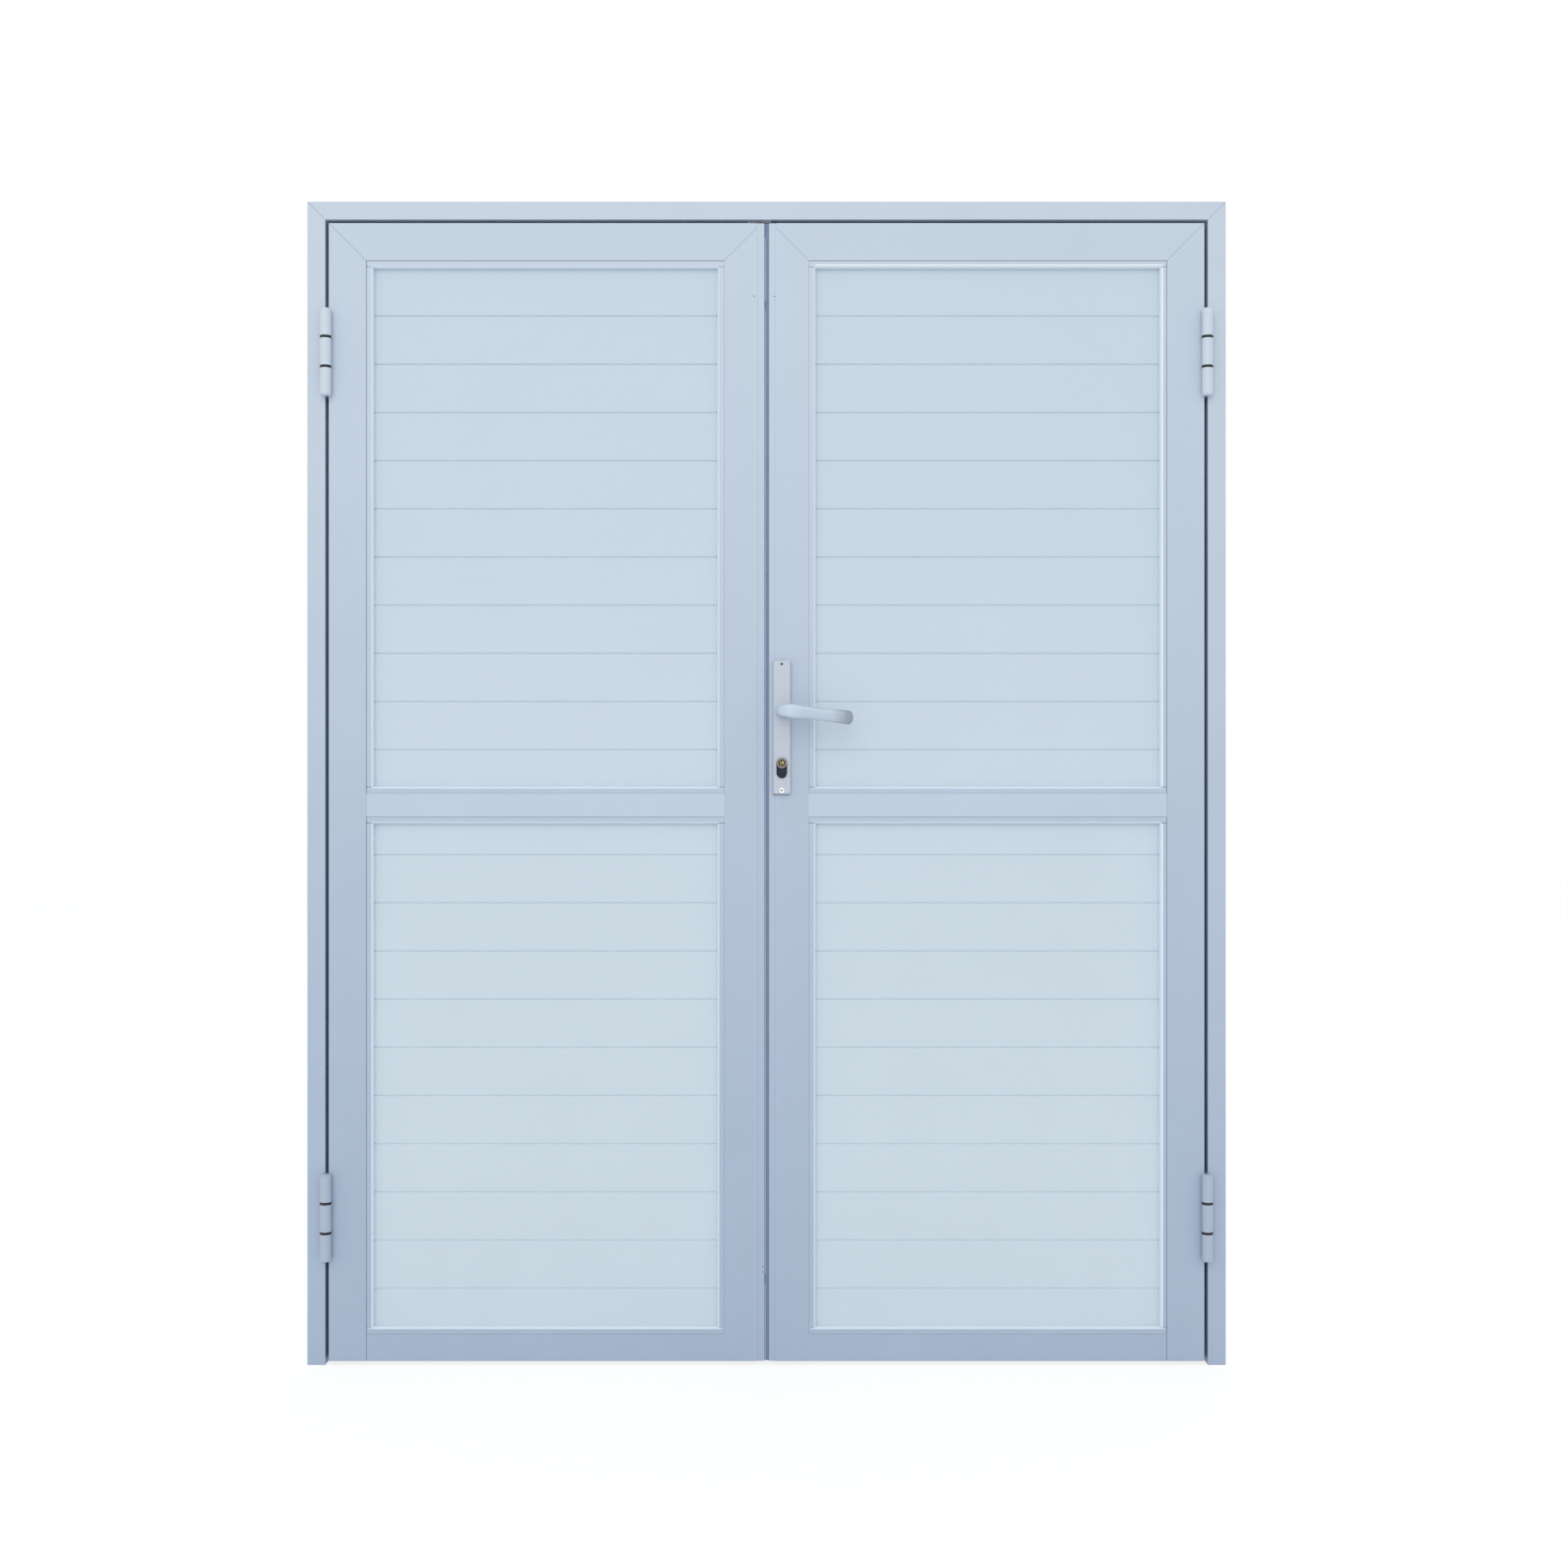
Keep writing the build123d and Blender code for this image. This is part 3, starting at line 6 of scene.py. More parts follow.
import bmesh
import bpy
import numpy as np
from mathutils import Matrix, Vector


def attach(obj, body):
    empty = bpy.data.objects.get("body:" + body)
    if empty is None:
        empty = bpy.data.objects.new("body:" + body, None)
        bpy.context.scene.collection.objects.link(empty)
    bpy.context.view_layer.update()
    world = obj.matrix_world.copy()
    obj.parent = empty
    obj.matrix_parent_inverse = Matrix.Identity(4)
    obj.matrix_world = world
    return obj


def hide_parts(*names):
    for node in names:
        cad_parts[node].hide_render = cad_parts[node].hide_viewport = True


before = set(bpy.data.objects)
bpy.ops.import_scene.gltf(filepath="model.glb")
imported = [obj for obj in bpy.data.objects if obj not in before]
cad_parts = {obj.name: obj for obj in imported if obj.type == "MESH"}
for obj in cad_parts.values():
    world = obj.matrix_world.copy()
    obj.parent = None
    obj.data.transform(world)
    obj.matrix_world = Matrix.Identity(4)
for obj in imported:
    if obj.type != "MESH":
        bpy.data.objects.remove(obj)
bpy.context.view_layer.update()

log = logging.getLogger("double_door")

MM = 0.001
BACK = (0.0, 1.0, 0.0)
FRONT = (0.0, -1.0, 0.0)
UP = (0.0, 0.0, 1.0)

Material = bpy.types.Material
Tree = bpy.types.NodeTree
Socket = bpy.types.NodeSocket
Piece = bpy.types.Object
Point = tuple[float, float, float]
Place2 = tuple[float, float]
# Points of shape (n, 3) in metres in the row frame, and faces of shape (m, 4)
Mesh = tuple[np.ndarray, np.ndarray]


# Sizes shared with the CAD model, in metres


@dataclass(frozen=True)
class DoorSizes:
    """Places of the door's main lines in the shared frame."""

    half_width: float = 0.750
    height: float = 1.900
    frame_front: float = -0.020
    frame_back: float = 0.028
    frame_face: float = 0.029
    stop_reach: float = 0.016
    leaf_edge: float = 0.715
    leaf_top: float = 1.865
    leaf_bottom: float = 0.0065
    leaf_face: float = 0.061
    leaf_front: float = -0.020
    leaf_back: float = 0.020
    meeting_edge: float = 0.004
    stile_edge: float = 0.0165
    meeting_face: float = 0.0525
    middle_rail: float = 0.9145
    middle_rail_face: float = 0.038
    bottom_rail_face: float = 0.044
    bead_face: float = 0.011
    hinge_heights: Place2 = (1.6525, 0.2425)
    lever_x: float = 0.025
    lever_z: float = 1.068
    cylinder_z: float = 0.983
    forend_z: float = 1.040
    plate_z: float = 1.0414


DOOR = DoorSizes()

# Edges of the openings for the panels: x on the right side, and z
HINGE_X = DOOR.leaf_edge - DOOR.leaf_face
MEETING_X = DOOR.stile_edge + DOOR.meeting_face
TOP_Z = DOOR.leaf_top - DOOR.leaf_face
HIGH_Z = DOOR.middle_rail + DOOR.middle_rail_face / 2
LOW_Z = DOOR.middle_rail - DOOR.middle_rail_face / 2
BOTTOM_Z = DOOR.leaf_bottom + DOOR.bottom_rail_face


class Side(Enum):
    """Which leaf a piece belongs to, with the sign of its x."""

    LEFT = -1
    RIGHT = 1

    @property
    def label(self) -> str:
        """Word that starts the names of this side's nodes."""
        return self.name.lower()

    @property
    def leaf(self) -> str:
        """Body that the side's leaf pieces ride on."""
        return f"{self.label}_leaf"


class Face(Enum):
    """Outer or inner face of the door, with the sign of its y."""

    FRONT = -1
    REAR = 1

    @property
    def label(self) -> str:
        """Word that starts the names of this face's nodes."""
        return self.name.lower()


# Colour and node helpers


def linear(hex_colour: str) -> tuple[float, float, float, float]:
    """Turn an sRGB hex colour into a linear one.

    Args:
        hex_colour: Six hex digits with a leading hash.

    Returns:
        Red, green, blue and an alpha of one.
    """
    srgb = np.array([int(hex_colour[i : i + 2], 16) / 255 for i in (1, 3, 5)])
    rgb = np.where(srgb <= 0.04045, srgb / 12.92, ((srgb + 0.055) / 1.055) ** 2.4)
    return (*(float(value) for value in rgb), 1.0)


def add_node(
    tree: Tree, kind: str, settings: dict[str, object] | None = None,
    inputs: dict[str | int, object] | None = None,
) -> bpy.types.Node:
    """Add one node with its settings, values and links.

    Args:
        tree: Tree that takes the node.
        kind: Blender's name of the node, without its common start.
        settings: Properties of the node by name.
        inputs: Values, or sockets to link from, by the input's name or number.

    Returns:
        The new node.
    """
    node = tree.nodes.new(f"ShaderNode{kind}")
    for name, value in (settings or {}).items():
        setattr(node, name, value)
    for name, value in (inputs or {}).items():
        if isinstance(value, Socket):
            tree.links.new(value, node.inputs[name])
        else:
            node.inputs[name].default_value = value
    return node


def new_material(name: str) -> tuple[Material, Tree, Socket, Socket]:
    """Start an empty node material.

    Args:
        name: Name of the finish.

    Returns:
        The material, its tree, the surface input of its output and the place on the piece.
    """
    material = bpy.data.materials.new(name)
    material.use_nodes = True
    tree = material.node_tree
    tree.nodes.clear()
    output = add_node(tree, "OutputMaterial")
    return material, tree, output.inputs["Surface"], add_node(tree, "TexCoord").outputs["Object"]


def noise(tree: Tree, place: Socket, size_mm: float, detail: float, roughness: float = 0.5) -> Socket:
    """Noise between zero and one, whose spots are about the given size."""
    inputs = {"Vector": place, "Scale": 1 / (size_mm * MM), "Detail": detail, "Roughness": roughness}
    return add_node(tree, "TexNoise", {}, inputs).outputs["Fac"]


def spread(tree: Tree, value: Socket, low: float, high: float, start: float = 0, end: float = 1) -> Socket:
    """Value moved from the range between start and end to the one from low to high."""
    inputs = {"Value": value, "From Min": start, "From Max": end, "To Min": low, "To Max": high}
    return add_node(tree, "MapRange", {}, inputs).outputs["Result"]


def blend(tree: Tree, share: Socket, first: object, second: object) -> Socket:
    """Mix of two colours, from the first at a share of zero to the second at one."""
    return add_node(tree, "MixRGB", {}, {"Fac": share, "Color1": first, "Color2": second}).outputs["Color"]


def brighten(tree: Tree, shade: Socket, colour: object) -> Socket:
    """Colour whose brightness is multiplied by the shade."""
    return add_node(tree, "HueSaturation", {}, {"Value": shade, "Color": colour}).outputs["Color"]


def bump(tree: Tree, height: Socket, strength: float, depth_mm: float) -> Socket:
    """Normal of a relief that is the depth times the height."""
    inputs = {"Height": height, "Strength": strength, "Distance": depth_mm * MM}
    return add_node(tree, "Bump", {}, inputs).outputs["Normal"]


def put_shader(tree: Tree, surface: Socket, inputs: dict[str, object]) -> None:
    """Put a principled shader with the given inputs on the surface."""
    tree.links.new(add_node(tree, "BsdfPrincipled", {}, inputs).outputs["BSDF"], surface)


# Finishes


@dataclass(frozen=True)
class PowderCoat:
    """Polyester powder coat baked on aluminium: satin, with a fine orange peel."""

    name: str
    top: str
    bottom: str
    roughness: float = 0.42
    peel_mm: float = 2.2
    peel_depth_mm: float = 0.020
    cloud_mm: float = 140.0
    cloud: float = 0.018
    cloud_range: Place2 = (0.3, 0.7)
    gloss_change: float = 0.04
    reveal: str = ""
    reveal_range: Place2 = (0.75, 0.95)

    def pale_reveal(self, tree: Tree, coat: Socket) -> Socket:
        """Painted light: give the faces that look sideways, not forwards or backwards, a paler colour that
        lightens their shade.

        Args:
            tree: Node tree of the material.
            coat: Colour of the other faces.

        Returns:
            Colour of all faces.
        """
        normal = add_node(tree, "TexCoord").outputs["Normal"]
        depth = add_node(tree, "SeparateXYZ", {}, {"Vector": normal}).outputs["Y"]
        facing = add_node(tree, "Math", {"operation": "ABSOLUTE"}, {0: depth}).outputs[0]
        return blend(tree, spread(tree, facing, 1.0, 0.0, *self.reveal_range), coat, linear(self.reveal))

    def build(self) -> Material:
        """Colour that changes with height as painted light and shade, faint clouds and the peel as bump.

        Returns:
            The finished material.
        """
        material, tree, surface, place = new_material(self.name)
        height = add_node(tree, "SeparateXYZ", {}, {"Vector": place}).outputs["Z"]
        # Painted light and shade: the colour changes with height as if lit from above. Most coats are darker
        # and bluer near the floor; the planks are lighter there to offset the floor's shade
        share = add_node(tree, "MapRange", {"interpolation_type": "SMOOTHSTEP"},
                         {"Value": height, "From Min": 0.0, "From Max": DOOR.height}).outputs["Result"]
        ramp = blend(tree, share, linear(self.bottom), linear(self.top))
        # Clouds of about a hand's width, where the coat is a little thicker or thinner
        clouds = noise(tree, place, self.cloud_mm, 3.0, 0.55)
        tint = brighten(tree, spread(tree, clouds, 1 - self.cloud, 1 + self.cloud, *self.cloud_range), ramp)
        # Painted light on the sideways faces, which lightens the shade on the beads' inner sides
        if self.reveal:
            tint = self.pale_reveal(tree, tint)
        gloss = spread(tree, clouds, self.roughness - self.gloss_change, self.roughness + self.gloss_change,
                       *self.cloud_range)
        # The real peel is about 1 mm from crest to crest; it is drawn coarser so that it shows
        peel = bump(tree, noise(tree, place, self.peel_mm, 2.0), 0.35, self.peel_depth_mm)
        put_shader(tree, surface, {"Base Color": tint, "Roughness": gloss, "IOR": 1.5, "Normal": peel})
        return material


@dataclass(frozen=True)
class Rubber:
    """Extruded rubber: matt, with a patchy bloom and the faint draw lines of its die."""

    name: str
    colour: str = "#1D2229"
    bloom: str = "#2B323B"
    roughness: float = 0.78
    line_mm: float = 0.6
    patch_mm: float = 18.0

    def build(self) -> Material:
        """Body colour with an uneven bloom and a fine grain.

        Returns:
            The finished material.
        """
        material, tree, surface, place = new_material(self.name)
        bloom = noise(tree, place, self.patch_mm, 4.0)
        colour = blend(tree, bloom, linear(self.colour), linear(self.bloom))
        grain = bump(tree, noise(tree, place, self.line_mm, 1.0), 0.3, 0.03)
        put_shader(tree, surface, {
            "Base Color": colour, "Roughness": self.roughness, "IOR": 1.52, "Normal": grain,
        })
        return material


# How much the grain of a metal is squeezed along each axis
ALONG_Z = (1.0, 1.0, 0.05)
ALONG_Y = (1.0, 0.05, 1.0)
EVEN = (1.0, 1.0, 1.0)


@dataclass(frozen=True)
class Metal:
    """Bare or plated metal: brushed, plated or mill finished, with fine lines along one axis."""

    name: str
    colour: str
    shadow: str
    roughness: float = 0.3
    line_mm: float = 0.7
    stretch: Point = ALONG_Z
    depth_mm: float = 0.01
    gloss_change: float = 0.06

    def build(self) -> Material:
        """Metal whose tone and gloss vary along stretched grain.

        Returns:
            The finished material.
        """
        material, tree, surface, place = new_material(self.name)
        # Grain lines are far longer than they are wide, so the pattern is squeezed along their run
        along = add_node(tree, "Mapping", {}, {"Vector": place, "Scale": self.stretch}).outputs["Vector"]
        grain = noise(tree, along, self.line_mm, 3.0)
        gloss = spread(tree, grain, self.roughness - self.gloss_change, self.roughness + self.gloss_change)
        put_shader(tree, surface, {
            "Base Color": blend(tree, grain, linear(self.shadow), linear(self.colour)), "Metallic": 1.0,
            "Roughness": gloss, "Normal": bump(tree, grain, 0.25, self.depth_mm),
        })
        return material


@dataclass(frozen=True)
class Lacquer:
    """Satin silver lacquer on cast aluminium: soft, slightly warm, with fine metal flake."""

    name: str
    colour: str
    roughness: float = 0.38
    flake_mm: float = 0.9
    ripple_mm: float = 3.5
    wear: tuple[Place2, ...] = ()

    def worn(self, tree: Tree, place: Socket, shade: Socket) -> Socket:
        """Painted light and shade along X: brightness from the listed pairs of place and factor.

        Args:
            tree: Tree that takes the nodes.
            place: Socket with the place on the piece.
            shade: Socket with the brightness before the painted shade.

        Returns:
            Socket with the brightness after the painted shade.
        """
        places, factors = np.array(self.wear).T
        along = add_node(tree, "SeparateXYZ", {}, {"Vector": place}).outputs["X"]
        ramp = add_node(tree, "ValToRGB", {}, {"Fac": spread(tree, along, 0.0, 1.0, places[0], places[-1])})
        stops = ramp.color_ramp.elements
        for _ in range(len(places) - len(stops)):
            stops.new(1.0)
        for stop, at, factor in zip(stops, (places - places[0]) / np.ptp(places), factors / factors.max()):
            stop.position = at
            stop.color = (factor, factor, factor, 1.0)
        times = {"operation": "MULTIPLY"}
        level = add_node(tree, "Math", times, {0: ramp.outputs["Color"], 1: factors.max()}).outputs[0]
        return add_node(tree, "Math", times, {0: level, 1: shade}).outputs[0]

    def build(self) -> Material:
        """Pale lacquer with flakes that catch the light, with painted light and shade along the lever:
        brighter by the neck, darker towards the tip.

        Returns:
            The finished material.
        """
        material, tree, surface, place = new_material(self.name)
        # Real flake is 0.03 mm across; it is drawn as coarse specks so that it shows at all
        specks = add_node(tree, "TexVoronoi", {}, {"Vector": place, "Scale": 1 / (self.flake_mm * MM)})
        tone = add_node(tree, "RGBToBW", {}, {"Color": specks.outputs["Color"]}).outputs["Val"]
        shade = spread(tree, tone, 0.975, 1.02)
        # Painted light and shade along the grip
        if self.wear:
            shade = self.worn(tree, place, shade)
        put_shader(tree, surface, {
            "Base Color": brighten(tree, shade, linear(self.colour)), "Metallic": 0.15,
            "Roughness": self.roughness, "Coat Weight": 0.15, "Coat Roughness": 0.2,
            "Normal": bump(tree, noise(tree, place, self.ripple_mm, 1.0), 0.2, 0.02),
        })
        return material


@dataclass(frozen=True)
class MouldedPlastic:
    """Injection-moulded polymer, dull with a fine spark-eroded grain."""

    name: str
    colour: str
    roughness: float = 0.55
    grain_mm: float = 0.5
    change: float = 0.08

    def build(self) -> Material:
        """Plain body colour with the grain of the mould as bump.

        Returns:
            The finished material.
        """
        material, tree, surface, place = new_material(self.name)
        grain = noise(tree, place, self.grain_mm, 2.0)
        colour = brighten(tree, spread(tree, grain, 1 - self.change, 1 + self.change), linear(self.colour))
        put_shader(tree, surface, {
            "Base Color": colour, "Roughness": self.roughness, "IOR": 1.53,
            "Normal": bump(tree, grain, 0.3, 0.02),
        })
        return material


def shared(kind: type, *values: object, **options: object) -> Material:
    """Finish as a field of a dataclass, built once for each set of finishes."""
    return field(default_factory=lambda: kind(*values, **options).build())


@dataclass
class Finishes:
    """Every finish of the door, built once and shared by the pieces."""

    # The top and bottom colours of each coat hold painted light and shade that changes with height
    frame_coat: Material = shared(PowderCoat, "powder_coat_frame", "#C4D0DE", "#ACBDD2")
    leaf_coat: Material = shared(PowderCoat, "powder_coat_leaf", "#C2CFDD", "#ACBCD1")
    # Painted light: the beads' sideways faces take a paler colour that lightens their shade
    bead_coat: Material = shared(PowderCoat, "powder_coat_bead", "#C6D0DF", "#AEBFD4", reveal="#DDE9F3")
    rail_coat: Material = shared(PowderCoat, "powder_coat_middle_rail", "#C4D1E0", "#C1CEDE")
    # Painted highlight on the stile's bevel beside the adaptor
    edge_coat: Material = shared(PowderCoat, "powder_coat_worn_bevel", "#D2DDEB", "#BAC8DC")
    # Painted highlight on the bead edges that catch the light
    arris_coat: Material = shared(PowderCoat, "powder_coat_rubbed_arris", "#F2F7FC", "#EEF4FA")
    plank_coat: Material = shared(PowderCoat, "powder_coat_plank", "#C8D6E1", "#D2DFE8", 0.5, cloud=0.010)
    hinge_coat: Material = shared(PowderCoat, "powder_coat_hinge", "#CED9E5", "#AEBCD0", 0.36, cloud=0.01)
    # Painted light and shade on the lever: brighter by the neck and darker towards the tip
    lever_lacquer: Material = shared(Lacquer, "silver_lacquer_lever", "#B9C6D5",
                                     wear=((0.03, 1.16), (0.06, 1.0), (0.104, 1.0), (0.13, 0.65)))
    plate_lacquer: Material = shared(Lacquer, "silver_lacquer_plate", "#BEC6D2")
    rubber: Material = shared(Rubber, "epdm_rubber")
    # Painted light and shade: the fin is darker and the lip paler, as the light across the meeting gap falls
    # off towards the right leaf
    seal: Material = shared(Rubber, "grey_elastomer_seal", "#8494B0", "#7686A3", 0.7)
    lip: Material = shared(Rubber, "pale_elastomer_lip", "#A3B2C9", "#95A5BE", 0.7)
    # Near-black: the nylon's colour, and painted shade where it rims the knuckle joints
    nylon: Material = shared(MouldedPlastic, "nylon_dark", "#101318")
    stainless: Material = shared(Metal, "brushed_stainless_steel", "#C4C8CC", "#9EA3A9", 0.32)
    zinc: Material = shared(Metal, "zinc_plated_steel", "#BFC3C6", "#8F9498", 0.36, 2.5, EVEN)
    # Dark zinc: on the upper handle bolt the darkness is painted shade
    dark_screw: Material = shared(Metal, "weathered_zinc_plated_steel", "#7A716B", "#4A423E", 0.55, 1.2, EVEN)
    bright_screw: Material = shared(Metal, "bright_nickel_plated_steel", "#FBFBF9", "#EDEDEB", 0.2, 1.5, EVEN)
    mill: Material = shared(Metal, "mill_finish_aluminium", "#D0D2D4", "#B2B5B9", 0.42, 0.9)
    nickel: Material = shared(Metal, "nickel_plated_brass", "#C9C5BD", "#A8A49C", 0.22, 0.8, ALONG_Y)
    dark_nickel: Material = shared(Metal, "dark_nickel_plated_brass", "#3A3F4B", "#1B1E26", 0.34, 0.8,
                                   ALONG_Y)
    aged_brass: Material = shared(Metal, "aged_brass", "#7D7455", "#3E3928", 0.34, 0.5, ALONG_Y)
    # Painted glint: near-white brass for the strips beside the keyway
    brass: Material = shared(Metal, "turned_brass", "#F6E9C2", "#D8C48C", 0.18, 0.4, ALONG_Y)
    sealant: Material = shared(MouldedPlastic, "corner_sealant", "#8796AE", 0.6, 0.8)
    # Dark colour of the joint lines: partly dust, partly painted shade
    grime: Material = shared(MouldedPlastic, "dust_in_joint", "#6E7C94", 0.8, 0.8)


# Mesh helpers


def put_mesh(name: str, points: np.ndarray, quads: np.ndarray, smooth: bool = True) -> Piece:
    """Put points and four-sided faces into a new object at the origin.

    Args:
        name: Name of the piece.
        points: Array of shape (n, 3), in metres in the row frame.
        quads: Array of shape (m, 4) of point numbers; a repeated number makes a triangle.
        smooth: Whether the faces are shaded smooth.

    Returns:
        The new object, linked to the scene.
    """
    mesh = bpy.data.meshes.new(name)
    mesh.vertices.add(len(points))
    mesh.vertices.foreach_set("co", np.ascontiguousarray(points, dtype=np.float32).ravel())
    mesh.loops.add(quads.size)
    mesh.loops.foreach_set("vertex_index", quads.astype(np.int32).ravel())
    mesh.polygons.add(len(quads))
    mesh.polygons.foreach_set("loop_start", np.arange(0, quads.size, 4, dtype=np.int32))
    mesh.polygons.foreach_set("use_smooth", np.full(len(quads), smooth))
    mesh.update(calc_edges=True)
    mesh.validate()
    thing = bpy.data.objects.new(name, mesh)
    bpy.context.scene.collection.objects.link(thing)
    return thing


def grid_quads(rows: int, columns: int, closed: bool) -> np.ndarray:
    """Faces between the points of a grid.

    Args:
        rows: Number of rows of points.
        columns: Number of points in a row.
        closed: Whether the last column joins the first.

    Returns:
        Array of shape (m, 4): each face takes a point, the next in its row and the two above them.
    """
    row = np.arange(rows - 1)[:, None] * columns
    start = np.arange(columns if closed else columns - 1)[None, :]
    after = (start + 1) % columns
    corners = (row + start, row + after, row + columns + after, row + columns + start)
    return np.stack([np.broadcast_to(c, (rows - 1, start.size)) for c in corners], axis=-1).reshape(-1, 4)


def merge_parts(parts: list[Mesh]) -> Mesh:
    """Join several sets of points and faces into one.

    Args:
        parts: Points and faces of each part.

    Returns:
        All points, and all faces counted on from the points before them.
    """
    counts = np.cumsum([0] + [len(points) for points, _ in parts[:-1]])
    points = np.concatenate([points for points, _ in parts])
    return points, np.concatenate([quads + count for (_, quads), count in zip(parts, counts)])


def carried(profile: np.ndarray, frames: np.ndarray) -> Mesh:
    """Carry a closed profile along a run of places and close both ends.

    Each point is its place plus the profile's first value along the place's first direction and
    its second value along the second direction.

    Args:
        profile: Array of shape (k, 2), or (n, k, 2) where the profile changes along the run.
        frames: Array of shape (n, 3, 3): place, first direction and second direction.

    Returns:
        Points and faces of a closed tube, with a centre point at each end.
    """
    rows, count = len(frames), profile.shape[-2]
    profile = np.broadcast_to(profile, (rows, count, 2))
    places = frames[:, None, 0]
    ring = places + profile[..., :1] * frames[:, None, 1] + profile[..., 1:] * frames[:, None, 2]
    points = np.concatenate([ring.reshape(-1, 3), ring[0].mean(axis=0)[None], ring[-1].mean(axis=0)[None]])
    step = np.arange(count)
    after = (step + 1) % count
    low = np.full(count, rows * count)
    high = low + 1
    last = (rows - 1) * count
    start_cap = np.stack([low, after, step, low], axis=-1)
    end_cap = np.stack([high, last + step, last + after, high], axis=-1)
    return points, np.concatenate([grid_quads(rows, count, closed=True), start_cap, end_cap])


def side_directions(axis: Point) -> tuple[np.ndarray, np.ndarray, np.ndarray]:
    """Unit axis and two directions square to it and to each other.

    Args:
        axis: Direction of the axis.

    Returns:
        The axis and its two side directions.
    """
    along = np.array(axis, dtype=float)
    first = np.cross(along, UP if abs(along[2]) < 0.9 else BACK)
    first = first / np.linalg.norm(first)
    return along, first, np.cross(along, first)


def lathe(section: list[Place2], middle: Point, axis: Point, segments: int = 32) -> Mesh:
    """Turn a section about an axis.

    Each point is the middle plus its height along the axis, plus its radius times the cosine of the
    turn along one side direction and times the sine along the other.

    Args:
        section: Radius and height of each point, in millimetres.
        middle: Place of radius and height zero.
        axis: Unit direction of the height.
        segments: Number of points round the axis.

    Returns:
        Points and faces, closed round the axis.
    """
    along, first, second = side_directions(axis)
    radius, height = (np.array(section).T * MM)[:, :, None, None]
    angle = np.linspace(0, 2 * np.pi, segments, endpoint=False)[None, :, None]
    points = np.array(middle) + height * along + radius * (np.cos(angle) * first + np.sin(angle) * second)
    return points.reshape(-1, 3), grid_quads(len(section), segments, closed=True)


# How far a strip stands out of its face, and how far its root lies in it
LINE_PROUD = 0.00004
LINE_ROOT = 0.0004


def flat_strip(start: Point, end: Point, out: float, half: float, proud: float = LINE_PROUD) -> Mesh:
    """Thin flat strip on a front or rear face.

    Its cross-section is a low box: half its width to each side of the line and from just inside the
    face to just proud of it.

    Args:
        start: One end of the strip's middle line.
        end: The other end.
        out: Sign of the direction along Y that the face looks.
        half: Half of the strip's width.
        proud: How far it stands out of the face.

    Returns:
        Points and faces of the closed strip.
    """
    first, last = np.array(start), np.array(end)
    facing = (0.0, out, 0.0)
    across = np.cross((last - first) / np.linalg.norm(last - first), facing)
    section = np.array([(-half, -LINE_ROOT), (half, -LINE_ROOT), (half, proud), (-half, proud)])
    return carried(section, np.array([[first, across, facing], [last, across, facing]]))


def front_strip(
    sign: int, y: float, start: Place2, end: Place2, half: float, proud: float = LINE_PROUD
) -> Mesh:
    """Strip on a front face at y, between two places of x and z that are mirrored by the sign."""
    return flat_strip((sign * start[0], y, start[1]), (sign * end[0], y, end[1]), -1.0, half, proud)


def mitre_line(sign: int, outer: Place2, inner: Place2, y: float, out: float) -> Mesh:
    """Thin flat bead of sealant along a mitre, held back a little from its outer end.

    Args:
        sign: Sign of x of the side.
        outer: X and Z of the mitre's outer end on the right side.
        inner: X and Z of its inner end.
        y: Face that the line lies on.
        out: Sign of the direction along Y that the face looks.

    Returns:
        Points and faces of the closed strip.
    """
    half, proud = 0.0003, 0.00006
    x, z = np.array(outer) + np.sign(np.array(inner) - np.array(outer)) * half
    return flat_strip((sign * x, y, z), (sign * inner[0], y, inner[1]), out, half, proud)


def rounded_path(corners: np.ndarray, radii: list[float], spacing: float) -> tuple[np.ndarray, np.ndarray]:
    """Path of straight runs joined by arcs that touch both runs.

    Args:
        corners: Array of shape (n, 2).
        radii: Radius at each inner corner.
        spacing: Distance between points of the path.

    Returns:
        Points of the path and its direction at each of them, both of shape (k, 2).
    """
    runs = np.diff(corners, axis=0)
    ways = runs / np.linalg.norm(runs, axis=1, keepdims=True)
    points: list[np.ndarray] = []
    start = corners[0]
    for index, radius in enumerate(radii):
        before, after = ways[index], ways[index + 1]
        turn = math.acos(float(np.clip(before @ after, -1, 1)))
        cut = radius * math.tan(turn / 2)
        enter = corners[index + 1] - before * cut
        side = after - before * (before @ after)
        side = side / np.linalg.norm(side)
        count = max(2, int(np.linalg.norm(enter - start) / spacing))
        points.append(start + np.linspace(0, 1, count, endpoint=False)[:, None] * (enter - start))
        angle = np.linspace(0, turn, max(6, int(radius * turn / spacing * 2)), endpoint=False)[:, None]
        points.append(enter + radius * (np.sin(angle) * before + (1 - np.cos(angle)) * side))
        start = corners[index + 1] + after * cut
    count = max(2, int(np.linalg.norm(corners[-1] - start) / spacing))
    points.append(start + np.linspace(0, 1, count)[:, None] * (corners[-1] - start))
    path = np.concatenate(points)
    way = np.gradient(path, axis=0)
    return path, way / np.linalg.norm(way, axis=1, keepdims=True)


# Pieces


def outward(thing: Piece) -> Piece:
    """Merge doubled points of a closed piece and turn its faces outwards.

    Args:
        thing: Piece to put right.

    Returns:
        The same piece.
    """
    work = bmesh.new()
    work.from_mesh(thing.data)
    bmesh.ops.remove_doubles(work, verts=work.verts, dist=1e-7)
    bmesh.ops.dissolve_degenerate(work, edges=work.edges, dist=1e-8)
    bmesh.ops.recalc_face_normals(work, faces=work.faces)
    work.to_mesh(thing.data)
    work.free()
    return thing


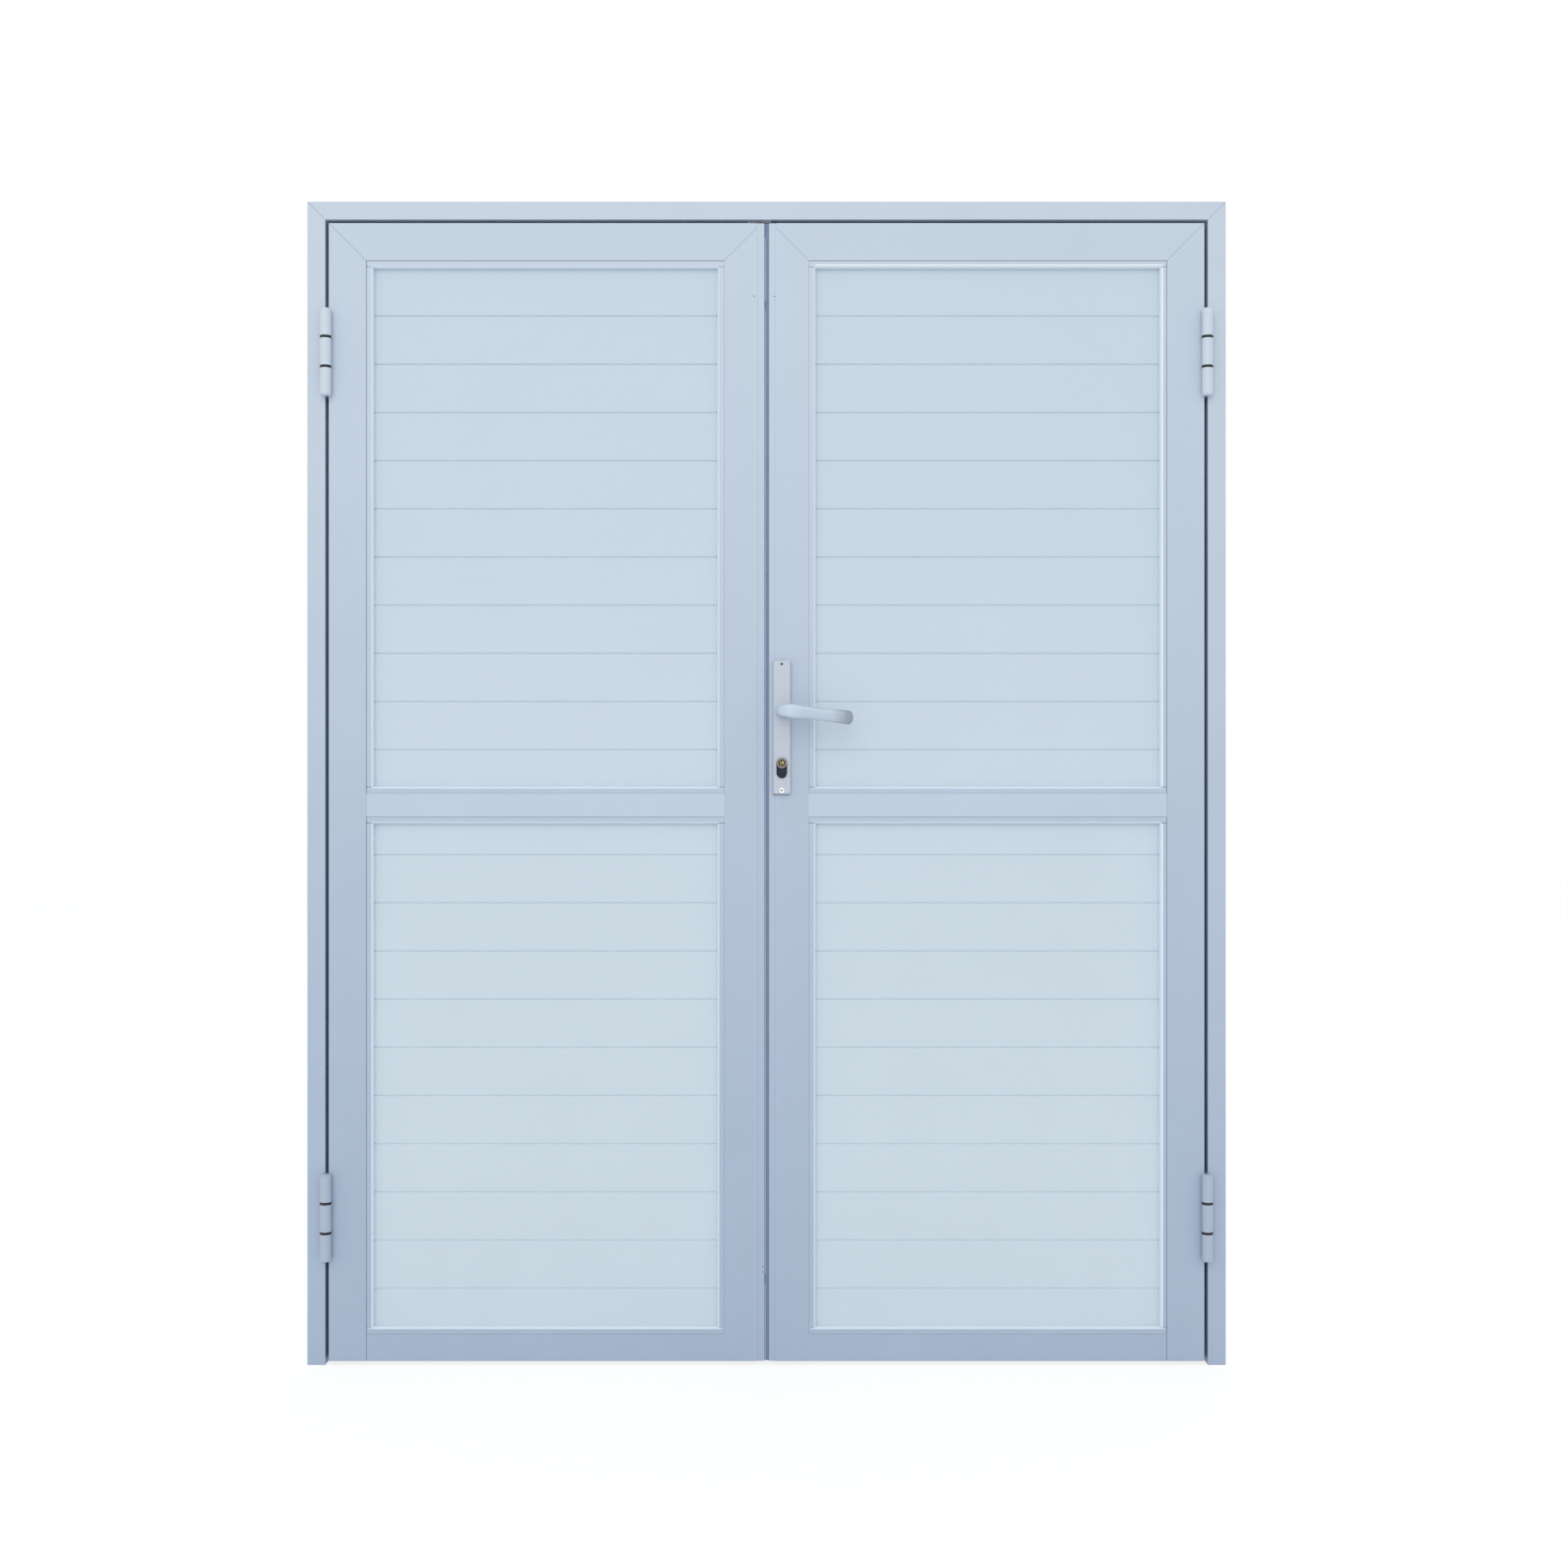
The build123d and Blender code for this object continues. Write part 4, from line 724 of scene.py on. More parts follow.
def place_piece(thing: Piece, body: str, slot: str, material: Material, *nodes: str) -> None:
    """Finish a new piece: its material, the body it rides on and the nodes it stands for.

    Args:
        thing: The new piece.
        body: CAD body that it moves with.
        slot: Not used.
        material: Finish of the piece, if it has none yet.
        nodes: CAD nodes that it replaces.
    """
    if not thing.data.materials:
        thing.data.materials.append(material)
    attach(thing, body)
    if nodes:
        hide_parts(*nodes)
    log.info("made %s on %s", thing.name, body)


# Crease of a piece that is shaded smooth all over
ALL_SMOOTH = 180.0


def make_piece(
    name: str, parts: list[Mesh], body: str, slot: str, material: Material, *nodes: str, crease: float = 0.0
) -> None:
    """Join closed parts into one piece, shade it and place it.

    Args:
        name: Name of the piece.
        parts: Points and faces of each part.
        body: CAD body that it moves with.
        slot: Name of the material slot, passed on to place_piece.
        material: Finish of the piece.
        nodes: CAD nodes that it replaces.
        crease: Largest turn between faces, in degrees, that is shaded smooth; none is with zero.
    """
    piece = outward(put_mesh(name, *merge_parts(parts), smooth=crease > 0))
    if 0 < crease < ALL_SMOOTH:
        piece.data.set_sharp_from_angle(angle=math.radians(crease))
    place_piece(piece, body, slot, material, *nodes)


def dress(material: Material, *nodes: str) -> None:
    """Give every material slot of CAD nodes one finish.

    Args:
        material: Finish that they take.
        nodes: Names of the nodes.
    """
    for node in nodes:
        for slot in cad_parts[node].material_slots:
            slot.material = material
        log.info("dressed %s with %s", node, material.name)


# Screws


@dataclass(frozen=True)
class CrossScrew:
    """Countersunk screw with a cross recess, on a polar grid."""

    head_radius: float = 0.0042
    head_height: float = 0.0020
    shank_radius: float = 0.0022
    length: float = 0.012
    recess_depth: float = 0.0014
    arm: float = 0.0022
    arm_half_width: float = 0.00045
    crown: float = 0.00012
    segments: int = 24
    rings: int = 12

    def grid(self) -> Mesh:
        """Points and faces of one screw with its head at the origin and its point towards -Z.

        Rings run from the middle of the head out to its rim, down the cone and along the shank.
        The head dips where either arm of a cross covers a point: the dip is the recess depth times a
        smooth step from inside to outside the arm, and it grows shallower towards the arm's end.

        Returns:
            Points of shape (n, 3) and faces of shape (m, 4).
        """
        angle = np.linspace(0, 2 * np.pi, self.segments, endpoint=False)
        rings = np.linspace(0.0, 1.0, self.rings)
        radius, turn = np.meshgrid(rings * self.head_radius, angle, indexing="ij")
        x, y = radius * np.cos(turn), radius * np.sin(turn)
        near, far = np.minimum(np.abs(x), np.abs(y)), np.maximum(np.abs(x), np.abs(y))
        across = np.clip((self.arm_half_width * 1.6 - near) / (self.arm_half_width * 1.2), 0, 1)
        along = np.clip((self.arm - far) / (self.arm * 0.45), 0, 1)
        top = -self.crown * rings[:, None] ** 2 - self.recess_depth * across * along
        radii = np.array([self.shank_radius, self.shank_radius, self.shank_radius * 0.2])[:, None]
        depths = -np.array([self.head_height, self.length * 0.85, self.length])[:, None]
        stem = np.stack([
            radii * np.cos(angle), radii * np.sin(angle), np.broadcast_to(depths, (3, self.segments)),
        ], axis=-1)
        points = np.concatenate([np.stack([x, y, top], axis=-1).reshape(-1, 3), stem.reshape(-1, 3)])
        rows = self.rings + len(radii)
        end = np.arange(self.segments) + (rows - 1) * self.segments
        tip = np.full_like(end, len(points))
        quads = np.concatenate([
            grid_quads(rows, self.segments, closed=True), np.stack([end, np.roll(end, -1), tip, tip], -1),
        ])
        return np.concatenate([points, [(0.0, 0.0, -self.length)]]), quads

    def placed(self, head: Point, into: Point, turn: float) -> Mesh:
        """One screw moved to its head's place and turned to point into the work.

        Args:
            head: Middle of the head's face.
            into: Direction that the point looks.
            turn: Angle of the recess about the screw's axis, in degrees.

        Returns:
            Points and faces in the row frame.
        """
        points, quads = self.grid()
        away, first, second = side_directions(tuple(-value for value in into))
        u = first * math.cos(math.radians(turn)) + second * math.sin(math.radians(turn))
        return np.array(head) + points @ np.stack([u, np.cross(away, u), away]), quads


@dataclass
class ScrewSet:
    """All screws of one body, each with its own turn of the recess."""

    finishes: Finishes
    hinge_x: Place2 = (0.7185, 0.7175)
    wing_y: float = 0.002
    wing_step: float = 0.050
    keep_x: float = -0.0111745755
    keep_z: float = 1.869
    keep_step: float = 0.014
    plate_offset: float = 0.098
    flush_inset: float = 0.120
    flush_offset: float = 0.068
    flush_y: float = 0.0065

    def wing_heads(self, x: float, into: float) -> list[tuple[Point, Point]]:
        """Heads of the screws of two hinge wings at one x.

        Args:
            x: Face of the wing.
            into: Sign of the direction along X that the points look.

        Returns:
            Place and direction of each head.
        """
        heights = [z + step * self.wing_step for z in DOOR.hinge_heights for step in (-1, 0, 1)]
        return [((x, self.wing_y, z), (into, 0.0, 0.0)) for z in heights]

    def make(self, name: str, heads: list[tuple[Point, Point]], seed: int, body: str, node: str) -> None:
        """Join screws into one piece.

        Args:
            name: Name of the piece.
            heads: Place and direction of each head.
            seed: Seed of the turns of the recesses.
            body: CAD body that it moves with.
            node: CAD node that it replaces.
        """
        turns = np.random.default_rng(seed).uniform(0, 90, len(heads))
        parts = [CrossScrew().placed(head, into, float(turn)) for (head, into), turn in zip(heads, turns)]
        make_piece(name, parts, body, "screw", self.finishes.zinc, node, crease=ALL_SMOOTH)

    def build(self) -> None:
        """Make the screws of the frame and of the edges of both leaves."""
        heads = [((self.keep_x + side * self.keep_step, 0.0, self.keep_z), UP) for side in (-1, 1)]
        for side in Side:
            heads += self.wing_heads(side.value * self.hinge_x[0], float(side.value))
        self.make("frame_screw_heads", heads, 11, "frame", "frame_screws")
        plate = [(0.0, DOOR.forend_z + step * self.plate_offset) for step in (-1, 1)]
        middles = (DOOR.leaf_top - self.flush_inset, DOOR.leaf_bottom + self.flush_inset)
        flush = [(self.flush_y, middle + step * self.flush_offset) for middle in middles for step in (-1, 1)]
        for side in Side:
            sign = float(side.value)
            heads = self.wing_heads(sign * self.hinge_x[1], -sign)
            edge = plate + flush if side is Side.LEFT else plate
            heads += [((sign * DOOR.meeting_edge, y, z), (sign, 0.0, 0.0)) for y, z in edge]
            self.make(f"{side.label}_leaf_screw_heads", heads, 20 + side.value, side.leaf,
                      f"{side.label}_leaf_screws")


@dataclass
class EdgeRivets:
    """Small rivets that show as dots beside the meeting gap."""

    finishes: Finishes
    stile_front: float = -0.020
    adaptor_front: float = -0.0188

    def build(self) -> None:
        """Make the domed rivet heads of each leaf."""
        dome = [(0.0, 0.28), (0.5, 0.24), (0.9, 0.1), (1.05, 0.0), (1.05, -0.4), (0.0, -0.4)]
        places = {
            Side.LEFT: [(-0.0057, self.adaptor_front, 0.1600), (-0.0057, self.adaptor_front, 0.1515),
                        (-0.0199, self.stile_front, 1.7457)],
            Side.RIGHT: [(0.0128, self.adaptor_front, 1.7457)],
        }
        for side, heads in places.items():
            parts = [lathe(dome, head, FRONT, 20) for head in heads]
            make_piece(f"{side.label}_edge_rivets", parts, side.leaf, "screw", self.finishes.dark_screw,
                       crease=50)


# Seals


@dataclass
class GasketRun:
    """Bulb gasket in the channel of the frame's stop, over both jambs and the head."""

    finishes: Finishes
    channel_centre: float = 0.041
    mouth: float = 0.0230
    bulb_front: float = 0.0204
    bulb_half_width: float = 0.0038
    stem: float = 0.0019
    root_half_width: float = 0.0027
    root_back: float = 0.0259

    def profile(self) -> np.ndarray:
        """Outline of the gasket: a half-round bulb in front of a barbed root.

        The bulb is half an ellipse over the channel's mouth and the root is a narrow stem with one
        barb on each side.

        Returns:
            Array of shape (k, 2): across the channel, and depth along Y.
        """
        angle = np.linspace(0, np.pi, 17)
        bulb = np.stack([
            self.bulb_half_width * np.cos(angle), self.mouth - (self.mouth - self.bulb_front) * np.sin(angle),
        ], axis=-1)
        half = np.array([
            (self.stem, self.mouth), (self.stem, 0.0239), (self.root_half_width, 0.0240),
            (self.root_half_width, 0.0249), (self.stem, self.root_back),
        ])
        return np.concatenate([bulb, half * (-1, 1), half[::-1]])

    def build(self) -> None:
        """Carry the profile up each jamb and along the head, mitred where the runs meet."""
        reach, top = DOOR.half_width - self.channel_centre, DOOR.height - self.channel_centre
        # The mitre: the further a point lies from the jamb's outer side, the lower its run ends
        runs = {
            f"{side.label}_jamb": [
                [(side.value * reach, 0.0, 0.0), (-side.value, 0.0, 0.0), BACK],
                [(side.value * reach, 0.0, top), (-side.value, 0.0, -1.0), BACK],
            ] for side in Side
        }
        runs["head"] = [[(sign * reach, 0.0, top), (-sign, 0.0, -1.0), BACK] for sign in (-1, 1)]
        for name, ends in runs.items():
            parts = [carried(self.profile(), np.array(ends))]
            make_piece(f"{name}_bulb_gasket", parts, "frame", "gasket", self.finishes.rubber,
                       f"{name}_gasket", crease=50)


@dataclass
class MeetingSeals:
    """Finned seal on the right leaf and a short lip on the left one, edge to edge in the meeting gap, the lip
    paler and the fin darker as painted light and shade across the gap.
    """

    finishes: Finishes
    seal_y: float = -0.015
    fin_tip: float = -0.0021
    lip_tip: float = -0.0024

    def run(self, name: str, half: list[Place2], body: str, material: Material, *nodes: str) -> None:
        """Carry a section up the whole leaf.

        Args:
            name: Name of the piece.
            half: X of each point, and its distance behind the seal's middle plane; it is mirrored.
            body: CAD body that it moves with.
            material: Finish of the piece.
            nodes: CAD nodes that it replaces.
        """
        section = np.array(half + [(x, -y) for x, y in reversed(half)])
        ends = [[(0.0, self.seal_y, z), (1.0, 0.0, 0.0), BACK] for z in (DOOR.leaf_bottom, DOOR.leaf_top)]
        make_piece(name, [carried(section, np.array(ends))], body, "gasket", material, *nodes, crease=40)

    def build(self) -> None:
        """Make the barbed root and tapered fin of the seal, and the lip."""
        edge, tip = DOOR.meeting_edge, self.fin_tip
        half = [(edge + 0.0019, 0.0008), (edge + 0.0015, 0.0014), (edge + 0.0006, 0.0014),
                (edge + 0.0003, 0.0006), (0.0, 0.0006), (tip + 0.0002, 0.0004), (tip, 0.0002)]
        self.run("meeting_fin_seal", half, "right_leaf", self.finishes.seal, "meeting_seal")
        half = [(-edge - 0.0002, 0.0006), (self.lip_tip - 0.0002, 0.0005), (self.lip_tip, 0.0002)]
        self.run("meeting_lip", half, "left_leaf", self.finishes.lip)


# Frame, leaves and hinges


@dataclass
class FrameAssembly:
    """Head, jambs and corner keys of the frame, with the sealed lines of its mitres."""

    finishes: Finishes

    def build(self) -> None:
        """Make the sealant lines on both faces of both corners."""
        outer = (DOOR.half_width, DOOR.height)
        inner = tuple(value - DOOR.frame_face for value in outer)
        back = tuple(value - DOOR.stop_reach for value in inner)
        faces = ((inner, DOOR.frame_front, -1.0), (back, DOOR.frame_back, 1.0))
        parts = [mitre_line(sign, outer, end, y, out) for sign in (-1, 1) for end, y, out in faces]
        make_piece("frame_corner_sealant", parts, "frame", "frame_profile", self.finishes.sealant)

    def dress(self) -> None:
        """Coat the profiles and give the hidden keys and the keep their metals."""
        dress(self.finishes.frame_coat, "head_profile", "left_jamb_profile", "right_jamb_profile")
        dress(self.finishes.mill, "frame_corner_cleats")
        dress(self.finishes.stainless, "head_bolt_keep")


@dataclass
class LeafAssembly:
    """Profiles, planks and beads of one leaf, with the sealed lines of its joints, dark lines of dust and
    painted shade at its bead joints, and painted highlights.
    """

    finishes: Finishes
    side: Side
    bead_front: float = -0.0196
    arris_inset: float = 0.0072
    arris_half: float = 0.0008
    fine: float = 0.00015
    wide: float = 0.0005
    bevel_proud: float = 0.00003
    bevel_ends: Place2 = (0.001, 0.012)

    def add(self, name: str, parts: list[Mesh], slot: str, material: Material) -> None:
        """Make a piece of this leaf, with the side's label before its name."""
        make_piece(f"{self.side.label}_{name}", parts, self.side.leaf, slot, material)

    def corner_sealant(self) -> None:
        """Lines where the profiles meet: the mitre at the hinge side and the one at the meeting stile."""
        lines = [
            ((DOOR.leaf_edge, DOOR.leaf_top), (HINGE_X, TOP_Z)),
            ((DOOR.stile_edge, TOP_Z + DOOR.meeting_face), (MEETING_X, TOP_Z)),
        ]
        parts = []
        for outer, inner in lines:
            back = np.array(inner) + np.sign(np.array(inner) - np.array(outer)) * DOOR.bead_face
            parts.append(mitre_line(self.side.value, outer, inner, DOOR.leaf_front, -1.0))
            parts.append(mitre_line(self.side.value, outer, back, DOOR.leaf_back, 1.0))
        self.add("leaf_corner_sealant", parts, "leaf_profile", self.finishes.sealant)

    def bead_joints(self) -> None:
        """Dark lines where the beads meet their profiles, partly dust in the joints and partly painted shade,
        widest along the hinge stile and top rail where the shade is deepest.
        """
        fine, wide = self.fine, self.wide
        lines = [
            ((HINGE_X, TOP_Z), (MEETING_X, TOP_Z), (0, -1), wide),
            ((HINGE_X, HIGH_Z), (MEETING_X, HIGH_Z), (0, 1), fine),
            ((HINGE_X, LOW_Z), (MEETING_X, LOW_Z), (0, -1), 2 * fine),
            ((HINGE_X, BOTTOM_Z), (MEETING_X, BOTTOM_Z), (0, 1), fine),
            ((HINGE_X, HIGH_Z), (HINGE_X, TOP_Z), (-1, 0), wide),
            ((HINGE_X, BOTTOM_Z), (HINGE_X, LOW_Z), (-1, 0), wide),
            ((MEETING_X, HIGH_Z), (MEETING_X, TOP_Z), (1, 0), fine),
            ((MEETING_X, BOTTOM_Z), (MEETING_X, LOW_Z), (1, 0), fine),
        ]
        parts = []
        for start, end, inward, half in lines:
            shift = np.array(inward) * half
            parts.append(front_strip(self.side.value, self.bead_front, start + shift, end + shift, half))
        self.add("bead_joints", parts, "bead", self.finishes.grime)
        # The same dark lines of dust and painted shade go on down the hinge stile's joints with the bottom
        # and middle rails
        parts = []
        for low, high, half in ((DOOR.leaf_bottom, BOTTOM_Z, wide), (LOW_Z, HIGH_Z, fine)):
            x = HINGE_X - half
            parts.append(front_strip(self.side.value, DOOR.leaf_front, (x, low + 2 * wide), (x, high), half))
        self.add("rail_end_joints", parts, "leaf_profile", self.finishes.grime)

    def worn_bevel(self) -> None:
        """Painted highlight: a pale line along the stile's edge beside the adaptor, where the bevel catches
        the light.
        """
        x = DOOR.stile_edge + self.wide
        ends = ((x, DOOR.leaf_bottom + self.bevel_ends[0]), (x, DOOR.leaf_top - self.bevel_ends[1]))
        strip = front_strip(self.side.value, DOOR.leaf_front, *ends, self.wide, self.bevel_proud)
        self.add("worn_bevel", [strip], "leaf_profile", self.finishes.edge_coat)

    def rubbed_arrises(self) -> None:
        """Painted highlights: bright lines on bead edges where they catch the light, one under the top rail
        and two beside the hinges.
        """
        edge, x, z = DOOR.bead_face, HINGE_X - self.arris_inset, TOP_Z - self.arris_inset
        lines = [
            ((MEETING_X + edge, z), (x, z)),
            ((x, HIGH_Z + edge), (x, TOP_Z - edge)),
            ((x, BOTTOM_Z + edge), (x, LOW_Z - edge)),
        ]
        parts = [front_strip(self.side.value, self.bead_front, *ends, self.arris_half) for ends in lines]
        self.add("rubbed_arrises", parts, "bead", self.finishes.arris_coat)

    def build(self) -> None:
        """Make the leaf's joint lines on both faces, its bead joints, the painted highlight on its bevel and,
        on the right leaf, the painted highlights on its bead edges.
        """
        self.corner_sealant()
        self.bead_joints()
        self.worn_bevel()
        if self.side is Side.RIGHT:
            self.rubbed_arrises()

    def dress(self) -> None:
        """Coat the profiles, planks and beads, and give the connectors their metal."""
        coats = {
            "leaf_coat": ("hinge_stile", "meeting_stile", "meeting_adaptor", "top_rail", "bottom_rail"),
            # The middle rails are a little paler than the stiles
            "rail_coat": ("middle_rail",),
            "plank_coat": ("upper_planks", "lower_planks"),
            "bead_coat": ("upper_beads", "lower_beads"),
            "mill": ("leaf_connectors",),
        }
        for finish, nodes in coats.items():
            dress(getattr(self.finishes, finish), *(f"{self.side.label}_{node}" for node in nodes))


@dataclass
class HingeSet:
    """Wings, pins and bushes of the four hinges, with dark rims at their knuckle joints that stand for
    washers and painted shade in the joints' gaps.
    """

    finishes: Finishes
    axis_x: float = 0.718
    axis_y: float = -0.029
    joint: float = 0.0235
    rim_radii: Place2 = (0.00903, 0.00906)
    rim_heights: Place2 = (-0.0014, 0.0029)
    rim_reach: float = 120.0

    def rim(self, x: float, z: float, step: float) -> Mesh:
        """Thin rim round the front and sides of one knuckle joint, open towards the straps behind.

        Each place on it lies the radius times the sine of the turn to the side and the radius times
        the cosine to the front. It covers the joint and a strip of the frame's knuckle, as a dark washer and
        painted shade in the joint's gap.

        Args:
            x: Place of the hinge's axis.
            z: Height of the joint.
            step: 1 where the frame's knuckle is above the joint, -1 where it is below.

        Returns:
            Points and faces of the rim.
        """
        turn = np.radians(np.linspace(-self.rim_reach, self.rim_reach, 49))
        radial = np.stack([np.sin(turn), -np.cos(turn), np.zeros_like(turn)], axis=-1)
        middle = np.broadcast_to((x, self.axis_y, z), radial.shape)
        up = np.broadcast_to((0.0, 0.0, step), radial.shape)
        (inside, outside), (low, high) = self.rim_radii, self.rim_heights
        section = np.array([(inside, low), (outside, low), (outside, high), (inside, high)])
        return carried(section, np.stack([middle, radial, up], axis=1))

    def build(self) -> None:
        """Make the thin dark rims, partly washers and partly painted shade, which stand proud of the knuckles
        at each joint.
        """
        for side in Side:
            parts = [self.rim(side.value * self.axis_x, z + step * self.joint, step)
                     for z in DOOR.hinge_heights for step in (-1.0, 1.0)]
            make_piece(f"{side.label}_knuckle_rims", parts, "frame", "nylon", self.finishes.nylon, crease=40)

    def dress(self) -> None:
        """Coat the wings and pins, and give the bushes their nylon."""
        for side in Side:
            for part in ("frame_hinge_wings", "leaf_hinge_wings", "hinge_pins"):
                dress(self.finishes.hinge_coat, f"{side.label}_{part}")
            dress(self.finishes.nylon, f"{side.label}_hinge_bushes")


# Lever, lock and bolts


@dataclass
class LeverPair:
    """Front and rear lever, drawn as one profile carried along a bent path."""

    finishes: Finishes
    reach: float = 0.0579
    length: float = 0.116
    root: float = 0.0038
    thickness: float = 0.012
    neck_radius: float = 0.010
    neck_bend: float = 0.018
    neck_length: float = 0.030
    tip_bend: float = 0.011
    tip_return: float = 0.013
    tip_round: float = 0.016
    droop: float = 6.5
    corner: float = 0.009
    end_round: float = 0.004
    spacing: float = 0.0012

    def half_heights(self, along: np.ndarray) -> np.ndarray:
        """Half height of the grip: full at the neck, slim in the middle and full again at the tip.

        Args:
            along: Distance from the lever's axis, in metres.

        Returns:
            Half height at each place, by a smooth curve through the measured heights.
        """
        knots = np.array([0.0, 0.018, 0.040, 0.062, 0.088, 0.108, 0.116])
        values = np.array([10.0, 11.8, 10.6, 10.0, 10.8, 11.3, 11.2]) * MM
        padded = np.pad(np.interp(along, knots, values), 4, mode="edge")
        kernel = np.hanning(9)
        return np.convolve(padded, kernel / kernel.sum(), mode="valid")

    def sections(self, path: np.ndarray, run: np.ndarray) -> np.ndarray:
        """Rounded section at each place of the path.

        A section is a superellipse: the cosine and sine of the angle, each raised to 2/n with its
        sign kept, times the half thickness and half height. n rises from 2 at the round neck to 3.6
        on the grip and falls back to 2 round the tip's bend, whose oval sections round its corners
        as seen from the front. The end itself shrinks along a quarter circle.

        Args:
            path: Places of shape (k, 2): along the lever and depth.
            run: Distance along the path of each place.

        Returns:
            Array of shape (k, 48, 2).
        """
        angle = np.linspace(0, 2 * np.pi, 48, endpoint=False)[None, :]
        grip = np.clip((run - self.neck_length) / self.neck_length, 0, 1)[:, None]
        grip = grip * grip * (3 - 2 * grip)
        left = run[-1] - run
        turned = np.clip((left - self.tip_return) / self.tip_round, 0, 1)[:, None]
        power = 2 / (2 + 1.6 * grip * turned)
        # Quarter circles that close the height over the corner and the thickness over the end
        close, slim = (np.sqrt(np.clip(1 - (1 - np.clip(left / size, 0, 1)) ** 2, 0, 1))[:, None]
                       for size in (self.corner, self.end_round))
        neck = self.neck_radius * (1 - grip)
        half_thick = (neck + self.thickness / 2 * grip) * slim
        half_high = neck + self.half_heights(np.abs(path[:, 0]))[:, None] * grip
        half_high = half_high * (0.25 + 0.75 * close) * np.minimum(slim * 4, 1)
        cosine, sine = np.cos(angle), np.sin(angle)
        u = np.sign(cosine) * np.abs(cosine) ** power * half_thick
        v = np.sign(sine) * np.abs(sine) ** power * half_high
        return np.stack([u, v], axis=-1)

    def build(self) -> None:
        """Carry the sections along the path, droop the lever and mirror it for the rear."""
        grip_y = DOOR.leaf_front - self.reach + self.thickness / 2
        end_x = self.length - self.thickness / 2
        corners = np.array([
            (0, DOOR.leaf_front - self.root), (0, grip_y), (end_x, grip_y), (end_x, grip_y + self.tip_return),
        ])
        path, way = rounded_path(corners, [self.neck_bend, self.tip_bend], self.spacing)
        run = np.concatenate([[0], np.cumsum(np.linalg.norm(np.diff(path, axis=0), axis=1))])
        droop = math.radians(self.droop)
        along = np.array([math.cos(droop), 0.0, -math.sin(droop)])
        up = np.array([math.sin(droop), 0.0, math.cos(droop)])
        depth = np.array(BACK)
        places = np.array([DOOR.lever_x, 0.0, DOOR.lever_z]) + path[:, :1] * along + path[:, 1:] * depth
        normal = way[:, 1:] * along - way[:, :1] * depth
        frames = np.stack([places, normal, np.broadcast_to(up, places.shape)], axis=1)
        points, quads = carried(self.sections(path, run), frames)
        for face in Face:
            turned = points * (1.0, -float(face.value), 1.0)
            make_piece(f"{face.label}_lever_handle", [(turned, quads)], "lever", "lever",
                       self.finishes.lever_lacquer, f"{face.label}_lever", crease=60)

    def dress(self) -> None:
        """Give the spindle and the follower their steel."""
        dress(self.finishes.zinc, "spindle", "follower")


